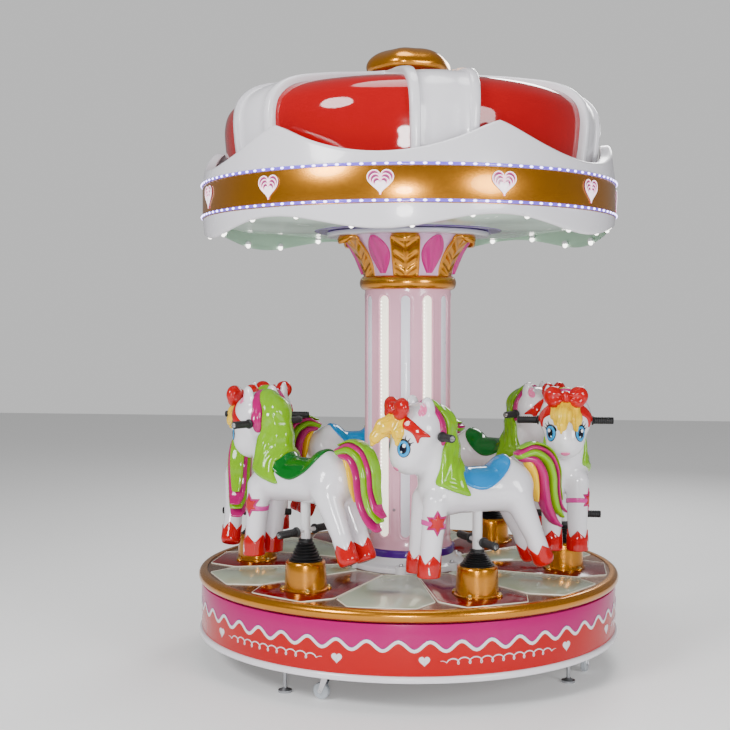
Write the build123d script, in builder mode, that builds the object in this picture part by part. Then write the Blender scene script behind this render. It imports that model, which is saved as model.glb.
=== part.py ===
from build123d import *

import os
from math import atan2, cos, degrees, hypot, radians, sin

# A six-horse children's carousel: a fixed, skirted base on feet and casters, a
# turntable with a deck, a column and a canopy, and six horses that rise and fall in
# turn.  Millimetres.  The origin is on the spin axis at floor level, +Z is up and -Y is
# the front.  A bearing is an angle in degrees from the front towards +X.

os.makedirs("parts", exist_ok=True)

# ----------------------------------------------------------------- driving dimensions

# Layout
horse_count = 6
horse_step = 360 / horse_count
first_horse_bearing = -30
horse_ring_radius = 745
deck_level = 420
rim_radius = 1000

# Clearances
seat_gap = 0.3
running_clearance = 0.08
pivot_clearance = 0.5
floor_to_wheel = 2

# Skirt and its trim
skirt_radius = rim_radius - 14
skirt_wall = 4
skirt_low = 150
skirt_panel_count = 6
skirt_seam = 0.4
rim_to_skirt = 4
trim_height = 26
trim_flare = 11
trim_wall = 6

# Base frame
base_ring_radius = 880
base_ring_width = 60
base_frame_low = 124
base_frame_height = 50
tube_wall = 4
base_spoke_count = 4
base_spoke_width = 60
hoop_width = 10
outrigger_width = 40
hub_plate_radius = 370
hub_plate_thickness = 8
hub_plate_bore = 60

# Levelling feet
foot_count = 4
foot_bearing = -30
foot_pad_radius = 30
foot_pad_height = 10
foot_stem_radius = 8
jam_nut_width = 24
jam_nut_height = 12

# Casters
caster_count = 4
caster_bearing = -16
caster_pad_size = 90
caster_pad_height = 18
caster_trail = 25
wheel_radius = 35
wheel_width = 24
axle_radius = 4
fork_plate = 3
fork_width = 30
fork_side_gap = 2
fork_disc_radius = 24
fork_disc_height = 5
swivel_pin_radius = 6
swivel_gap = 0.5

# Slewing ring and drive
gear_module = 6
gear_teeth = 80
pinion_teeth = 16
tooth_share = 0.38
gear_bore_radius = 205
gear_height = 46
slew_flange = 6
slew_inner_radius = gear_bore_radius - 40
pinion_bearing = 195
pinion_shaft_radius = 12
pinion_shaft_length = 54
gearbox_radius = 55
gearbox_height = 106
motor_flange = 120
slip_ring_radius = 55
slip_ring_height = 40
slip_stub_radius = 25

# Turntable frame
turn_plate_radius = gear_bore_radius + 23
turn_plate_thickness = 12
drum_radius = 180
drum_wall = 8
mast_radius = 70
mast_wall = 6
spoke_width = 60
spoke_height = 50
hexagon_width = 40
post_boss_radius = 50
bracket_width = 50
bracket_plate = 8

# Deck
deck_thickness = 12
panel_thickness = 4
deck_bore = 150
rim_inner_radius = rim_radius - 42
rim_height = 55
rim_wall = 5
panel_inner_radius = 300
panel_shoulder_radius = rim_radius - 170
panel_outer_radius = rim_radius - 50
panel_half_angle = 14.6
panel_tip_half_angle = 8.5

# Horse posts, guides, pedestals and bellows
post_radius = 21
post_wall = 4
guide_radius = 30
guide_flange_radius = 46
guide_flange = 8
guide_top = deck_level + 120
pedestal_height = 128
pedestal_top_radius = 87
pedestal_base_radius = 94
pedestal_flange_radius = 100
pedestal_flange = 8
pedestal_wall = 4
bellows_base_radius = 71
bellows_top_radius = 36
bellows_wall = 4
bellows_top = 210

# Horses: heights here are above the deck with the horse at the middle of its stroke
rest_lift = 12
post_top = 450
neck_bar_reach = 165
neck_bar_height = 455
neck_bar_radius = 15
handlebar_reach = 222
handlebar_height = 705
handlebar_radius = 11
handlebar_length = 433
hand_grip_radius = 16.5
hand_grip_length = 98
foot_bar_height = 245
foot_bar_radius = 10
foot_bar_length = 344
foot_peg_radius = 17
foot_peg_length = 115
belly_height = 462
belly_radius = 94
belly_hollow_radius = 72

# Rocker beams under the deck
beam_level = deck_level - 144
beam_width = 26
beam_height = 44
beam_overhang = 18
beam_pin_radius = 6
beam_slot_play = 3
trunnion_radius = 10
cheek_gap = 1
cheek_plate = 8
cheek_width = 50
cheek_drop = 18
bridge_height = 15
bridge_gap = 9

# Column
column_radius = 205
column_wall = 5
column_height = 1220
column_foot_radius = column_radius + 10
column_foot_height = 55
plinth_radius = column_radius + 70
plinth_flange = 30
plinth_neck_radius = column_radius + 20
plinth_height = 99
plinth_bore = column_radius - 10
flute_count = 12
flute_bearing = 3.5
flute_width = 48
flute_length = column_height - 85
flute_low = 58
flute_light_depth = 4

# Capital
capital_height = 250
capital_ring_height = 65
capital_ring_radius = column_radius + 26
capital_top_radius = column_radius + 105
capital_wall = 10
leaf_count = 6
leaf_bearing = 4
leaf_width = 150
leaf_height = 180
leaf_thickness = 9
leaf_gap = 3
abacus_radius = capital_top_radius + 77
abacus_height = 25
canopy_disc_radius = abacus_radius + 60
canopy_disc_height = 20
disc_bore = 80
disc_wall = 6

# Canopy
canopy_arm_width = 50
canopy_arm_height = 50
canopy_arm_rise = 50
canopy_arm_count = 6
canopy_cap_thickness = 12
fascia_radius = rim_radius - 28.5
fascia_wall = 5
fascia_foot_radius = fascia_radius - 6.5
fascia_top_radius = fascia_radius - 26.5
fascia_wave_count = 6
fascia_first_wave = 30
fascia_lobe_level = -50
fascia_arch_level = 12
fascia_valley_level = 261
fascia_peak_level = 407
fascia_wave_flat = 30
ceiling_wall = 4
gold_band_low = 67
gold_band_height = 133
gold_band_thickness = 2
light_strip_height = 12
light_strip_depth = 11
light_strip_gap = 1
heart_count = 12
heart_width = 110
heart_thickness = 6
bulb_count = 24
bulb_radius = 15

# Crown and finial
crown_radius = fascia_radius - 103.5
crown_wall = 5
rib_count = 6
rib_bearing = 16.5
rib_width = 300
rib_proud = 26
rib_wall = 6
rib_inner_radius = 268
finial_radius = 207
finial_height = 127
finial_floor = 8
finial_vent_radius = 20
finial_seat_radius = 140

# ------------------------------------------------------------------- derived levels

base_frame_top = base_frame_low + base_frame_height
slew_low = base_frame_top + hub_plate_thickness
gear_low = slew_low + slew_flange + seat_gap
gear_top = gear_low + gear_height
turn_plate_top = gear_top + turn_plate_thickness
deck_top = deck_level - panel_thickness
spoke_top = deck_top - deck_thickness
spoke_low = spoke_top - spoke_height
rim_top = deck_level + 1
rim_low = rim_top - rim_height
skirt_top = rim_low - rim_to_skirt
column_low = deck_top + plinth_height
capital_low = column_low + column_height
abacus_low = capital_low + capital_height
canopy_level = abacus_low + abacus_height
arm_low = canopy_level + canopy_disc_height + canopy_arm_rise
arm_top = arm_low + canopy_arm_height

half_step = horse_step / 2
beam_radius = horse_ring_radius * cos(radians(half_step))
beam_reach = horse_ring_radius * sin(radians(half_step))
beam_tilt = degrees(atan2(rest_lift, beam_reach))
pair_bearings = [first_horse_bearing + horse_step * (2 * pair + 0.5) for pair in range(horse_count // 2)]
horse_bearings = [first_horse_bearing + horse_step * number for number in range(horse_count)]
horse_lifts = [rest_lift if number % 2 == 0 else -rest_lift for number in range(horse_count)]

STANDING = (Align.CENTER, Align.CENTER, Align.MIN)
LYING = (Align.MIN, Align.CENTER, Align.MIN)


# ------------------------------------------------------------------------ placement


def upright_plane(radius, bearing, level):
    """A level plane at a bearing, with its x direction pointing away from the axis."""
    outward = (sin(radians(bearing)), -cos(radians(bearing)), 0)
    return Plane(
        origin=(radius * outward[0], radius * outward[1], level),
        x_dir=outward,
        z_dir=(0, 0, 1),
    )


def outward_plane(radius, bearing, level):
    """An upright plane at a bearing that faces away from the axis, with y upwards."""
    outward = (sin(radians(bearing)), -cos(radians(bearing)), 0)
    return Plane(
        origin=(radius * outward[0], radius * outward[1], level),
        x_dir=(cos(radians(bearing)), sin(radians(bearing)), 0),
        z_dir=outward,
    )


def horse_plane(number):
    """The horse's own frame: x ahead, y to its outer side, at its post on the deck."""
    bearing = radians(horse_bearings[number])
    return Plane(
        origin=(
            horse_ring_radius * sin(bearing),
            -horse_ring_radius * cos(bearing),
            deck_level + horse_lifts[number],
        ),
        x_dir=(-cos(bearing), -sin(bearing), 0),
        z_dir=(0, 0, 1),
    )


def start_angle(bearing):
    """The angle from +X that PolarLocations needs for a bearing."""
    return bearing - 90


def limb(start, end, start_radius, end_radius, mode=Mode.ADD):
    """Adds a round, tapering limb between two points to the part that is open."""
    run = Vector(end) - Vector(start)
    with Locations(Plane(origin=start, z_dir=run)):
        Cone(start_radius, end_radius, run.length, align=STANDING, mode=mode)


def tooth_outline(teeth, addendum, share):
    """The corners of one gear tooth that points along x, and reaches into its rim."""
    pitch_radius = gear_module * teeth / 2
    half_tooth = gear_module * share * 1.5708
    root = pitch_radius - 1.25 * gear_module
    return [
        (root - 2, -1.45 * half_tooth),
        (root, -1.45 * half_tooth),
        (pitch_radius + addendum, -0.62 * half_tooth),
        (pitch_radius + addendum, 0.62 * half_tooth),
        (root, 1.45 * half_tooth),
        (root - 2, 1.45 * half_tooth),
    ]


# ------------------------------------------------------------------------------ base

hoop_radius = skirt_radius - skirt_wall - seat_gap
base_ring_inner = base_ring_radius - base_ring_width / 2
base_ring_outer = base_ring_radius + base_ring_width / 2

with BuildPart() as base_frame:
    with BuildSketch(Plane.XZ):
        with Locations((base_ring_radius, base_frame_low + base_frame_height / 2)):
            Rectangle(base_ring_width, base_frame_height)
            Rectangle(base_ring_width - 2 * tube_wall, base_frame_height - 2 * tube_wall, mode=Mode.SUBTRACT)
        with Locations((hoop_radius - hoop_width / 2, base_frame_low + base_frame_height / 2)):
            Rectangle(hoop_width, base_frame_height)
    revolve(axis=Axis.Z)
    with PolarLocations(hub_plate_bore + 20, base_spoke_count, start_angle=start_angle(foot_bearing)):
        with Locations((0, 0, base_frame_low)):
            Box(base_ring_inner - hub_plate_bore, base_spoke_width, base_frame_height, align=LYING)
    with PolarLocations(hub_plate_bore + 40, base_spoke_count, start_angle=start_angle(foot_bearing)):
        with Locations((0, 0, base_frame_low + tube_wall)):
            Box(
                base_ring_inner - hub_plate_bore - 60,
                base_spoke_width - 2 * tube_wall,
                base_frame_height - 2 * tube_wall,
                align=LYING,
                mode=Mode.SUBTRACT,
            )
    outrigger_length = hoop_radius - hoop_width - base_ring_outer + 2
    with PolarLocations(base_ring_outer - 1, 2 * base_spoke_count, start_angle=start_angle(foot_bearing)):
        with Locations((0, 0, base_frame_low)):
            Box(outrigger_length, outrigger_width, base_frame_height, align=LYING)
    with Locations((0, 0, base_frame_top)):
        Cylinder(hub_plate_radius, hub_plate_thickness, align=STANDING)
    with PolarLocations(base_ring_radius, caster_count, start_angle=start_angle(caster_bearing)):
        with Locations((0, 0, base_frame_low - caster_pad_height)):
            Box(caster_pad_size, caster_pad_size, caster_pad_height, align=STANDING)
            Cylinder(2.5 * swivel_pin_radius, caster_pad_height + base_frame_height / 2, align=STANDING)
            Cylinder(
                swivel_pin_radius + running_clearance,
                caster_pad_height + base_frame_height / 2,
                align=STANDING,
                mode=Mode.SUBTRACT,
            )
    with PolarLocations(base_ring_radius, foot_count, start_angle=start_angle(foot_bearing)):
        Cylinder(foot_stem_radius + seat_gap, 2 * slew_low, mode=Mode.SUBTRACT)
    Cylinder(slip_ring_radius + seat_gap, 2 * base_frame_top, mode=Mode.SUBTRACT)
    with Locations((0, 0, base_frame_top)):
        Cylinder(hub_plate_bore, 2 * hub_plate_thickness, mode=Mode.SUBTRACT)
    with Locations(upright_plane(gear_module * (gear_teeth + pinion_teeth) / 2, pinion_bearing, base_frame_top)):
        Cylinder(pinion_shaft_radius * 2, 4 * hub_plate_thickness, mode=Mode.SUBTRACT)

base_frame.part.label = "base_frame"
export_step(base_frame.part, "parts/base_frame.step")

with BuildPart() as skirt_panels:
    with BuildSketch(Plane.XZ):
        with Locations((skirt_radius - skirt_wall / 2, (skirt_low + skirt_top) / 2)):
            Rectangle(skirt_wall, skirt_top - skirt_low)
    revolve(axis=Axis.Z)
    with PolarLocations(skirt_radius, skirt_panel_count, start_angle=start_angle(0)):
        with Locations((0, 0, skirt_low)):
            Box(4 * skirt_wall, skirt_seam, 2 * skirt_top, mode=Mode.SUBTRACT)

skirt_panels.part.label = "skirt_panels"
export_step(skirt_panels.part, "parts/skirt_panels.step")

trim_inner = skirt_radius - skirt_wall
with BuildPart() as skirt_trim:
    with BuildSketch(Plane.XZ):
        Polygon(
            (trim_inner, skirt_low),
            (trim_inner + trim_wall, skirt_low),
            (skirt_radius + trim_flare, skirt_low - trim_height + 5),
            (skirt_radius + trim_flare, skirt_low - trim_height),
            (skirt_radius + trim_flare - trim_wall, skirt_low - trim_height),
            (trim_inner, skirt_low - trim_height + 16),
            align=None,
        )
    revolve(axis=Axis.Z)

skirt_trim.part.label = "skirt_trim"
export_step(skirt_trim.part, "parts/skirt_trim.step")

with BuildPart() as levelling_feet:
    with PolarLocations(base_ring_radius, foot_count, start_angle=start_angle(foot_bearing)):
        Cylinder(foot_pad_radius, foot_pad_height, align=STANDING)
        with Locations((0, 0, foot_pad_height)):
            Cone(foot_pad_radius * 0.7, foot_stem_radius + 3, foot_pad_height, align=STANDING)
        Cylinder(foot_stem_radius, base_frame_top - 5, align=STANDING)
    hexagon_planes = [
        upright_plane(base_ring_radius, foot_bearing + 360 / foot_count * k, base_frame_low - jam_nut_height)
        for k in range(foot_count)
    ]
    with BuildSketch(*hexagon_planes):
        RegularPolygon(jam_nut_width / 2, 6, major_radius=False)
    extrude(amount=jam_nut_height)

levelling_feet.part.label = "levelling_feet"
export_step(levelling_feet.part, "parts/levelling_feet.step")

with BuildPart() as slew_ring_fixed:
    with BuildSketch(Plane.XZ):
        Polygon(
            (slew_inner_radius, slew_low),
            (gear_bore_radius + 12, slew_low),
            (gear_bore_radius + 12, slew_low + slew_flange),
            (gear_bore_radius - running_clearance, slew_low + slew_flange),
            (gear_bore_radius - running_clearance, gear_top - 4),
            (slew_inner_radius, gear_top - 4),
            align=None,
        )
    revolve(axis=Axis.Z)

slew_ring_fixed.part.label = "slew_ring_fixed"
export_step(slew_ring_fixed.part, "parts/slew_ring_fixed.step")

centre_distance = gear_module * (gear_teeth + pinion_teeth) / 2
with BuildPart(upright_plane(centre_distance, pinion_bearing, 0)) as drive_motor:
    with Locations((0, 0, base_frame_top - gearbox_height)):
        Cylinder(gearbox_radius, gearbox_height, align=STANDING)
    with Locations((0, 0, base_frame_top - 10)):
        Box(motor_flange, motor_flange, 10, align=STANDING)
    with Locations((0, 0, base_frame_top - pinion_shaft_length)):
        Cylinder(
            pinion_shaft_radius + running_clearance, pinion_shaft_length, align=STANDING, mode=Mode.SUBTRACT
        )

drive_motor.part.label = "drive_motor"
export_step(drive_motor.part, "parts/drive_motor.step")

with BuildPart() as control_box:
    with Locations(upright_plane(540, foot_bearing + 180, base_frame_top)):
        Box(140, 190, 72, align=STANDING)
    fillet(control_box.edges().filter_by(Axis.Z), 6)

control_box.part.label = "control_box"
export_step(control_box.part, "parts/control_box.step")

with BuildPart() as slip_ring:
    with Locations((0, 0, base_frame_top - slip_ring_height)):
        Cylinder(slip_ring_radius, slip_ring_height + hub_plate_thickness, align=STANDING)
        Cylinder(
            slip_stub_radius + pivot_clearance,
            4 * slip_ring_height,
            mode=Mode.SUBTRACT,
        )
    with Locations((0, 0, slew_low)):
        Cylinder(hub_plate_bore + 20, 3, align=STANDING)
        Cylinder(slip_stub_radius + pivot_clearance, 10, mode=Mode.SUBTRACT)

slip_ring.part.label = "slip_ring"
export_step(slip_ring.part, "parts/slip_ring.step")

# ---------------------------------------------------------------------------- casters

caster_step = 360 / caster_count
wheel_level = wheel_radius + floor_to_wheel
fork_top = base_frame_low - caster_pad_height - swivel_gap
fork_inner = wheel_width / 2 + fork_side_gap

for number in range(caster_count):
    place = upright_plane(base_ring_radius, caster_bearing + caster_step * number, 0)

    with BuildPart(place) as caster_fork:
        with Locations((0, 0, fork_top - fork_disc_height)):
            Cylinder(fork_disc_radius, fork_disc_height, align=STANDING)
        with Locations((0, 0, fork_top)):
            Cylinder(swivel_pin_radius, caster_pad_height + 10, align=STANDING)
        for side in (-1, 1):
            fork_middle = side * (fork_inner + fork_plate / 2)
            with BuildSketch(place * Plane.YZ.offset(fork_middle - fork_plate / 2)):
                with BuildLine():
                    Polyline(
                        (fork_width / 2, fork_top - fork_disc_height / 2),
                        (-fork_width / 2, fork_top - fork_disc_height / 2),
                        (-caster_trail - 9, wheel_level),
                        (-caster_trail + 9, wheel_level - 4),
                        (fork_width / 2, fork_top - fork_disc_height / 2),
                    )
                make_face()
                with Locations((-caster_trail, wheel_level)):
                    Circle(10)
            extrude(amount=fork_plate)
        with Locations((0, -caster_trail, wheel_level)):
            Cylinder(axle_radius, 2 * (fork_inner + fork_plate) + 4, rotation=(0, 90, 0))

    caster_fork.part.label = f"caster_{number + 1}_fork"
    export_step(caster_fork.part, f"parts/caster_{number + 1}_fork.step")

    with BuildPart(place) as caster_wheel:
        with Locations((0, -caster_trail, wheel_level)):
            Cylinder(wheel_radius, wheel_width, rotation=(0, 90, 0))
            Cylinder(
                axle_radius + running_clearance, 2 * wheel_width, rotation=(0, 90, 0), mode=Mode.SUBTRACT
            )
        rolling_edges = caster_wheel.edges().filter_by(GeomType.CIRCLE).group_by(SortBy.RADIUS)[-1]
        fillet(rolling_edges, 5)

    caster_wheel.part.label = f"caster_{number + 1}_wheel"
    export_step(caster_wheel.part, f"parts/caster_{number + 1}_wheel.step")

# ------------------------------------------------------------------------------ drive

pinion_direction = start_angle(pinion_bearing)
pinion_top = gear_top - 2
with BuildPart() as drive_pinion:
    with BuildSketch(upright_plane(centre_distance, pinion_bearing, gear_low)):
        Circle(gear_module * pinion_teeth / 2 - 1.25 * gear_module)
        with PolarLocations(0, pinion_teeth, start_angle=180):
            Polygon(*tooth_outline(pinion_teeth, gear_module, tooth_share), align=None)
    extrude(amount=pinion_top - gear_low)
    with Locations(upright_plane(centre_distance, pinion_bearing, slew_low + 2)):
        Cylinder(pinion_shaft_radius * 1.6, gear_low - slew_low, align=STANDING)
    with Locations(upright_plane(centre_distance, pinion_bearing, base_frame_top - pinion_shaft_length + 4)):
        Cylinder(pinion_shaft_radius, pinion_shaft_length + gear_height / 2, align=STANDING)

drive_pinion.part.label = "drive_pinion"
export_step(drive_pinion.part, "parts/drive_pinion.step")

with BuildPart() as slew_ring_gear:
    with BuildSketch(Plane.XY.offset(gear_low)):
        Circle(gear_module * gear_teeth / 2 - 1.25 * gear_module)
        with PolarLocations(0, gear_teeth, start_angle=pinion_direction + 180 / gear_teeth):
            Polygon(*tooth_outline(gear_teeth, gear_module, tooth_share), align=None)
        Circle(gear_bore_radius, mode=Mode.SUBTRACT)
    extrude(amount=gear_height)

slew_ring_gear.part.label = "slew_ring_gear"
export_step(slew_ring_gear.part, "parts/slew_ring_gear.step")

# -------------------------------------------------------------------- turntable frame

mast_top = arm_top
spoke_end = rim_inner_radius - 3
bracket_low = beam_level - cheek_drop - 4
bracket_inner = beam_width / 2 + cheek_gap
hexagon_chord = 2 * beam_reach

with BuildPart() as turntable_frame:
    with Locations((0, 0, gear_top)):
        Cylinder(turn_plate_radius, turn_plate_thickness, align=STANDING)
    with Locations((0, 0, turn_plate_top)):
        Cylinder(drum_radius, spoke_top - turn_plate_top, align=STANDING)
    with PolarLocations(mast_radius, horse_count, start_angle=start_angle(first_horse_bearing)):
        with Locations((0, 0, spoke_low)):
            Box(spoke_end - mast_radius, spoke_width, spoke_height, align=LYING)
    with PolarLocations(beam_radius, horse_count, start_angle=start_angle(pair_bearings[0])):
        with Locations((0, 0, spoke_low)):
            Box(hexagon_width, hexagon_chord, spoke_height, align=STANDING)
        with Locations((0, 0, spoke_low + tube_wall)):
            Box(
                hexagon_width - 2 * tube_wall,
                hexagon_chord - spoke_width,
                spoke_height - 2 * tube_wall,
                align=STANDING,
                mode=Mode.SUBTRACT,
            )
    with PolarLocations(drum_radius + 10, horse_count, start_angle=start_angle(first_horse_bearing)):
        with Locations((0, 0, spoke_low + tube_wall)):
            Box(
                spoke_end - drum_radius - 20,
                spoke_width - 2 * tube_wall,
                spoke_height - 2 * tube_wall,
                align=LYING,
                mode=Mode.SUBTRACT,
            )
    with PolarLocations(horse_ring_radius, horse_count, start_angle=start_angle(first_horse_bearing)):
        with Locations((0, 0, spoke_low)):
            Cylinder(post_boss_radius, spoke_height, align=STANDING)
    for bearing in pair_bearings:
        for side in (-1, 1):
            plate_radius = beam_radius + side * (bracket_inner + bracket_plate / 2)
            with Locations(upright_plane(plate_radius, bearing, bracket_low)):
                Box(bracket_plate, bracket_width, spoke_low + 2 - bracket_low, align=STANDING)
        with Locations(outward_plane(beam_radius, bearing, beam_level)):
            Cylinder(trunnion_radius + running_clearance, 3 * bracket_width, mode=Mode.SUBTRACT)
    with Locations((0, 0, turn_plate_top)):
        Cylinder(drum_radius - drum_wall, spoke_top, align=STANDING, mode=Mode.SUBTRACT)
        Cylinder(mast_radius, mast_top - turn_plate_top, align=STANDING)
        Cylinder(mast_radius - mast_wall, 2 * mast_top, align=STANDING, mode=Mode.SUBTRACT)
    stub_length = gear_top - (base_frame_top - slip_ring_height) + 2
    with Locations((0, 0, gear_top + 2)):
        Cylinder(slip_stub_radius, stub_length, align=(Align.CENTER, Align.CENTER, Align.MAX))
    with PolarLocations(horse_ring_radius, horse_count, start_angle=start_angle(first_horse_bearing)):
        Cylinder(guide_radius + seat_gap, 2 * deck_level, mode=Mode.SUBTRACT)

turntable_frame.part.label = "turntable_frame"
export_step(turntable_frame.part, "parts/turntable_frame.step")

guide_low = spoke_low - guide_flange
with BuildPart() as post_guides:
    with PolarLocations(horse_ring_radius, horse_count, start_angle=start_angle(first_horse_bearing)):
        with Locations((0, 0, guide_low)):
            Cylinder(guide_radius, guide_top - guide_low, align=STANDING)
            Cylinder(guide_flange_radius, guide_flange, align=STANDING)
            Cylinder(
                post_radius + running_clearance, guide_top - guide_low, align=STANDING, mode=Mode.SUBTRACT
            )

post_guides.part.label = "post_guides"
export_step(post_guides.part, "parts/post_guides.step")

# ------------------------------------------------------------------------------- deck

deck_radius = rim_radius - 25
with BuildPart() as deck:
    with Locations((0, 0, spoke_top)):
        Cylinder(rim_inner_radius - seat_gap, deck_thickness, align=STANDING)
        Cylinder(deck_bore, 4 * deck_thickness, mode=Mode.SUBTRACT)
    with PolarLocations(horse_ring_radius, horse_count, start_angle=start_angle(first_horse_bearing)):
        Cylinder(guide_radius + seat_gap, 2 * deck_level, mode=Mode.SUBTRACT)

deck.part.label = "deck"
export_step(deck.part, "parts/deck.step")

with BuildPart() as deck_rim:
    with BuildSketch(Plane.XZ):
        with BuildLine():
            Polyline((deck_radius, rim_top), (rim_inner_radius, rim_top), (rim_inner_radius, rim_low + 6))
            Polyline((rim_inner_radius, rim_low + 6), (rim_inner_radius + rim_wall, rim_low + 6))
            Polyline((rim_inner_radius + rim_wall, rim_low + 6), (rim_inner_radius + rim_wall, rim_top - rim_wall))
            Line((rim_inner_radius + rim_wall, rim_top - rim_wall), (deck_radius, rim_top - rim_wall))
            ThreePointArc(
                (deck_radius, rim_top - rim_wall),
                (rim_radius - rim_wall, (rim_top + rim_low) / 2),
                (deck_radius, rim_low + rim_wall),
            )
            Line((deck_radius, rim_low + rim_wall), (deck_radius, rim_low))
            ThreePointArc((deck_radius, rim_low), (rim_radius, (rim_top + rim_low) / 2), (deck_radius, rim_top))
        make_face()
    revolve(axis=Axis.Z)

deck_rim.part.label = "deck_rim"
export_step(deck_rim.part, "parts/deck_rim.step")


def polar_point(radius, angle):
    """A point in a panel's own plane, from its radius and its angle off the middle."""
    return (radius * cos(radians(angle)), radius * sin(radians(angle)))


panel_planes = [upright_plane(0, half_step * k, deck_top) for k in range(2 * horse_count)]
with BuildPart() as deck_panels:
    with BuildSketch(*panel_planes):
        Polygon(
            polar_point(panel_inner_radius, -panel_half_angle),
            polar_point(panel_shoulder_radius, -panel_half_angle),
            polar_point(panel_outer_radius, -panel_tip_half_angle),
            polar_point(panel_outer_radius, panel_tip_half_angle),
            polar_point(panel_shoulder_radius, panel_half_angle),
            polar_point(panel_inner_radius, panel_half_angle),
            align=None,
        )
    extrude(amount=panel_thickness)
    with PolarLocations(horse_ring_radius, horse_count, start_angle=start_angle(first_horse_bearing)):
        Cylinder(guide_radius + seat_gap, 2 * deck_level, mode=Mode.SUBTRACT)

deck_panels.part.label = "deck_panels"
export_step(deck_panels.part, "parts/deck_panels.step")

with BuildPart() as horse_pedestals:
    with PolarLocations(horse_ring_radius, horse_count, start_angle=start_angle(first_horse_bearing)):
        with Locations((0, 0, deck_level)):
            Cone(pedestal_base_radius, pedestal_top_radius, pedestal_height, align=STANDING)
            Cylinder(pedestal_flange_radius, pedestal_flange, align=STANDING)
            Cone(
                pedestal_base_radius - pedestal_wall,
                pedestal_top_radius - pedestal_wall,
                pedestal_height - pedestal_wall,
                align=STANDING,
                mode=Mode.SUBTRACT,
            )
            Cylinder(guide_radius + seat_gap, 3 * pedestal_height, mode=Mode.SUBTRACT)

horse_pedestals.part.label = "horse_pedestals"
export_step(horse_pedestals.part, "parts/horse_pedestals.step")

pedestal_top = deck_level + pedestal_height
with BuildPart() as bellows:
    for number in range(horse_count):
        collar_level = deck_level + bellows_top + horse_lifts[number]
        bellows_height = collar_level - pedestal_top
        with Locations(upright_plane(horse_ring_radius, horse_bearings[number], pedestal_top)):
            Cone(bellows_base_radius, bellows_top_radius, bellows_height, align=STANDING)
            Cone(
                bellows_base_radius - bellows_wall,
                bellows_top_radius - bellows_wall,
                bellows_height - bellows_wall,
                align=STANDING,
                mode=Mode.SUBTRACT,
            )
            Cylinder(post_radius + seat_gap, 3 * bellows_height, mode=Mode.SUBTRACT)

bellows.part.label = "bellows"
export_step(bellows.part, "parts/bellows.step")

# ----------------------------------------------------------------------------- column

with BuildPart() as column_plinth:
    with BuildSketch(Plane.XZ):
        with BuildLine():
            Polyline(
                (plinth_neck_radius - 5, column_low),
                (plinth_bore, column_low),
                (plinth_bore, deck_top),
                (plinth_radius, deck_top),
                (plinth_radius, deck_top + plinth_flange - 8),
                (plinth_radius - 10, deck_top + plinth_flange),
            )
            ThreePointArc(
                (plinth_radius - 10, deck_top + plinth_flange),
                (plinth_neck_radius + 10, deck_top + plinth_flange + 10),
                (plinth_neck_radius, deck_top + 2 * plinth_flange + 4),
            )
            Line((plinth_neck_radius, deck_top + 2 * plinth_flange + 4), (plinth_neck_radius - 5, column_low))
        make_face()
    revolve(axis=Axis.Z)

column_plinth.part.label = "column_plinth"
export_step(column_plinth.part, "parts/column_plinth.step")

flute_middle = column_low + flute_low + flute_length / 2
flute_planes = [
    outward_plane(mast_radius, flute_bearing + 360 / flute_count * k, flute_middle) for k in range(flute_count)
]
with BuildPart() as column_shell:
    with BuildSketch(Plane.XZ):
        Polygon(
            (column_radius - column_wall, column_low),
            (column_foot_radius, column_low),
            (column_radius, column_low + column_foot_height),
            (column_radius, capital_low),
            (column_radius - column_wall, capital_low),
            align=None,
        )
    revolve(axis=Axis.Z)
    with BuildSketch(*flute_planes):
        SlotOverall(flute_length, flute_width, rotation=90)
    extrude(amount=column_radius, mode=Mode.SUBTRACT)

column_shell.part.label = "column_shell"
export_step(column_shell.part, "parts/column_shell.step")

with BuildPart() as flute_slots:
    with BuildSketch(*flute_planes):
        SlotOverall(flute_length - 2 * seat_gap, flute_width - 2 * seat_gap, rotation=90)
    extrude(amount=column_radius)

with BuildPart() as column_lights:
    with Locations((0, 0, column_low)):
        Cylinder(column_radius - 1, column_height, align=STANDING)
        Cylinder(column_radius - 1 - flute_light_depth, 3 * column_height, mode=Mode.SUBTRACT)
    add(flute_slots.part, mode=Mode.INTERSECT)

column_lights.part.label = "column_lights"
export_step(column_lights.part, "parts/column_lights.step")

# ---------------------------------------------------------------------------- capital

ring_top = capital_low + capital_ring_height
capital_outer = [
    (column_radius + 6, ring_top),
    (column_radius + 12, ring_top + 45),
    (column_radius + 34, ring_top + 105),
    (capital_top_radius - 26, abacus_low - 30),
    (capital_top_radius, abacus_low),
]
capital_inner = [(radius - capital_wall, level) for radius, level in reversed(capital_outer)]
with BuildPart() as capital_bell:
    with BuildSketch(Plane.XZ):
        with BuildLine():
            ThreePointArc(
                (column_radius, capital_low),
                (capital_ring_radius, capital_low + capital_ring_height / 2),
                (column_radius + 6, ring_top),
            )
            Spline(*capital_outer)
            Line(capital_outer[-1], capital_inner[0])
            Spline(*capital_inner)
            Polyline(capital_inner[-1], (column_radius - capital_wall, capital_low), (column_radius, capital_low))
        make_face()
    revolve(axis=Axis.Z)

capital_bell.part.label = "capital_bell"
export_step(capital_bell.part, "parts/capital_bell.step")

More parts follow.
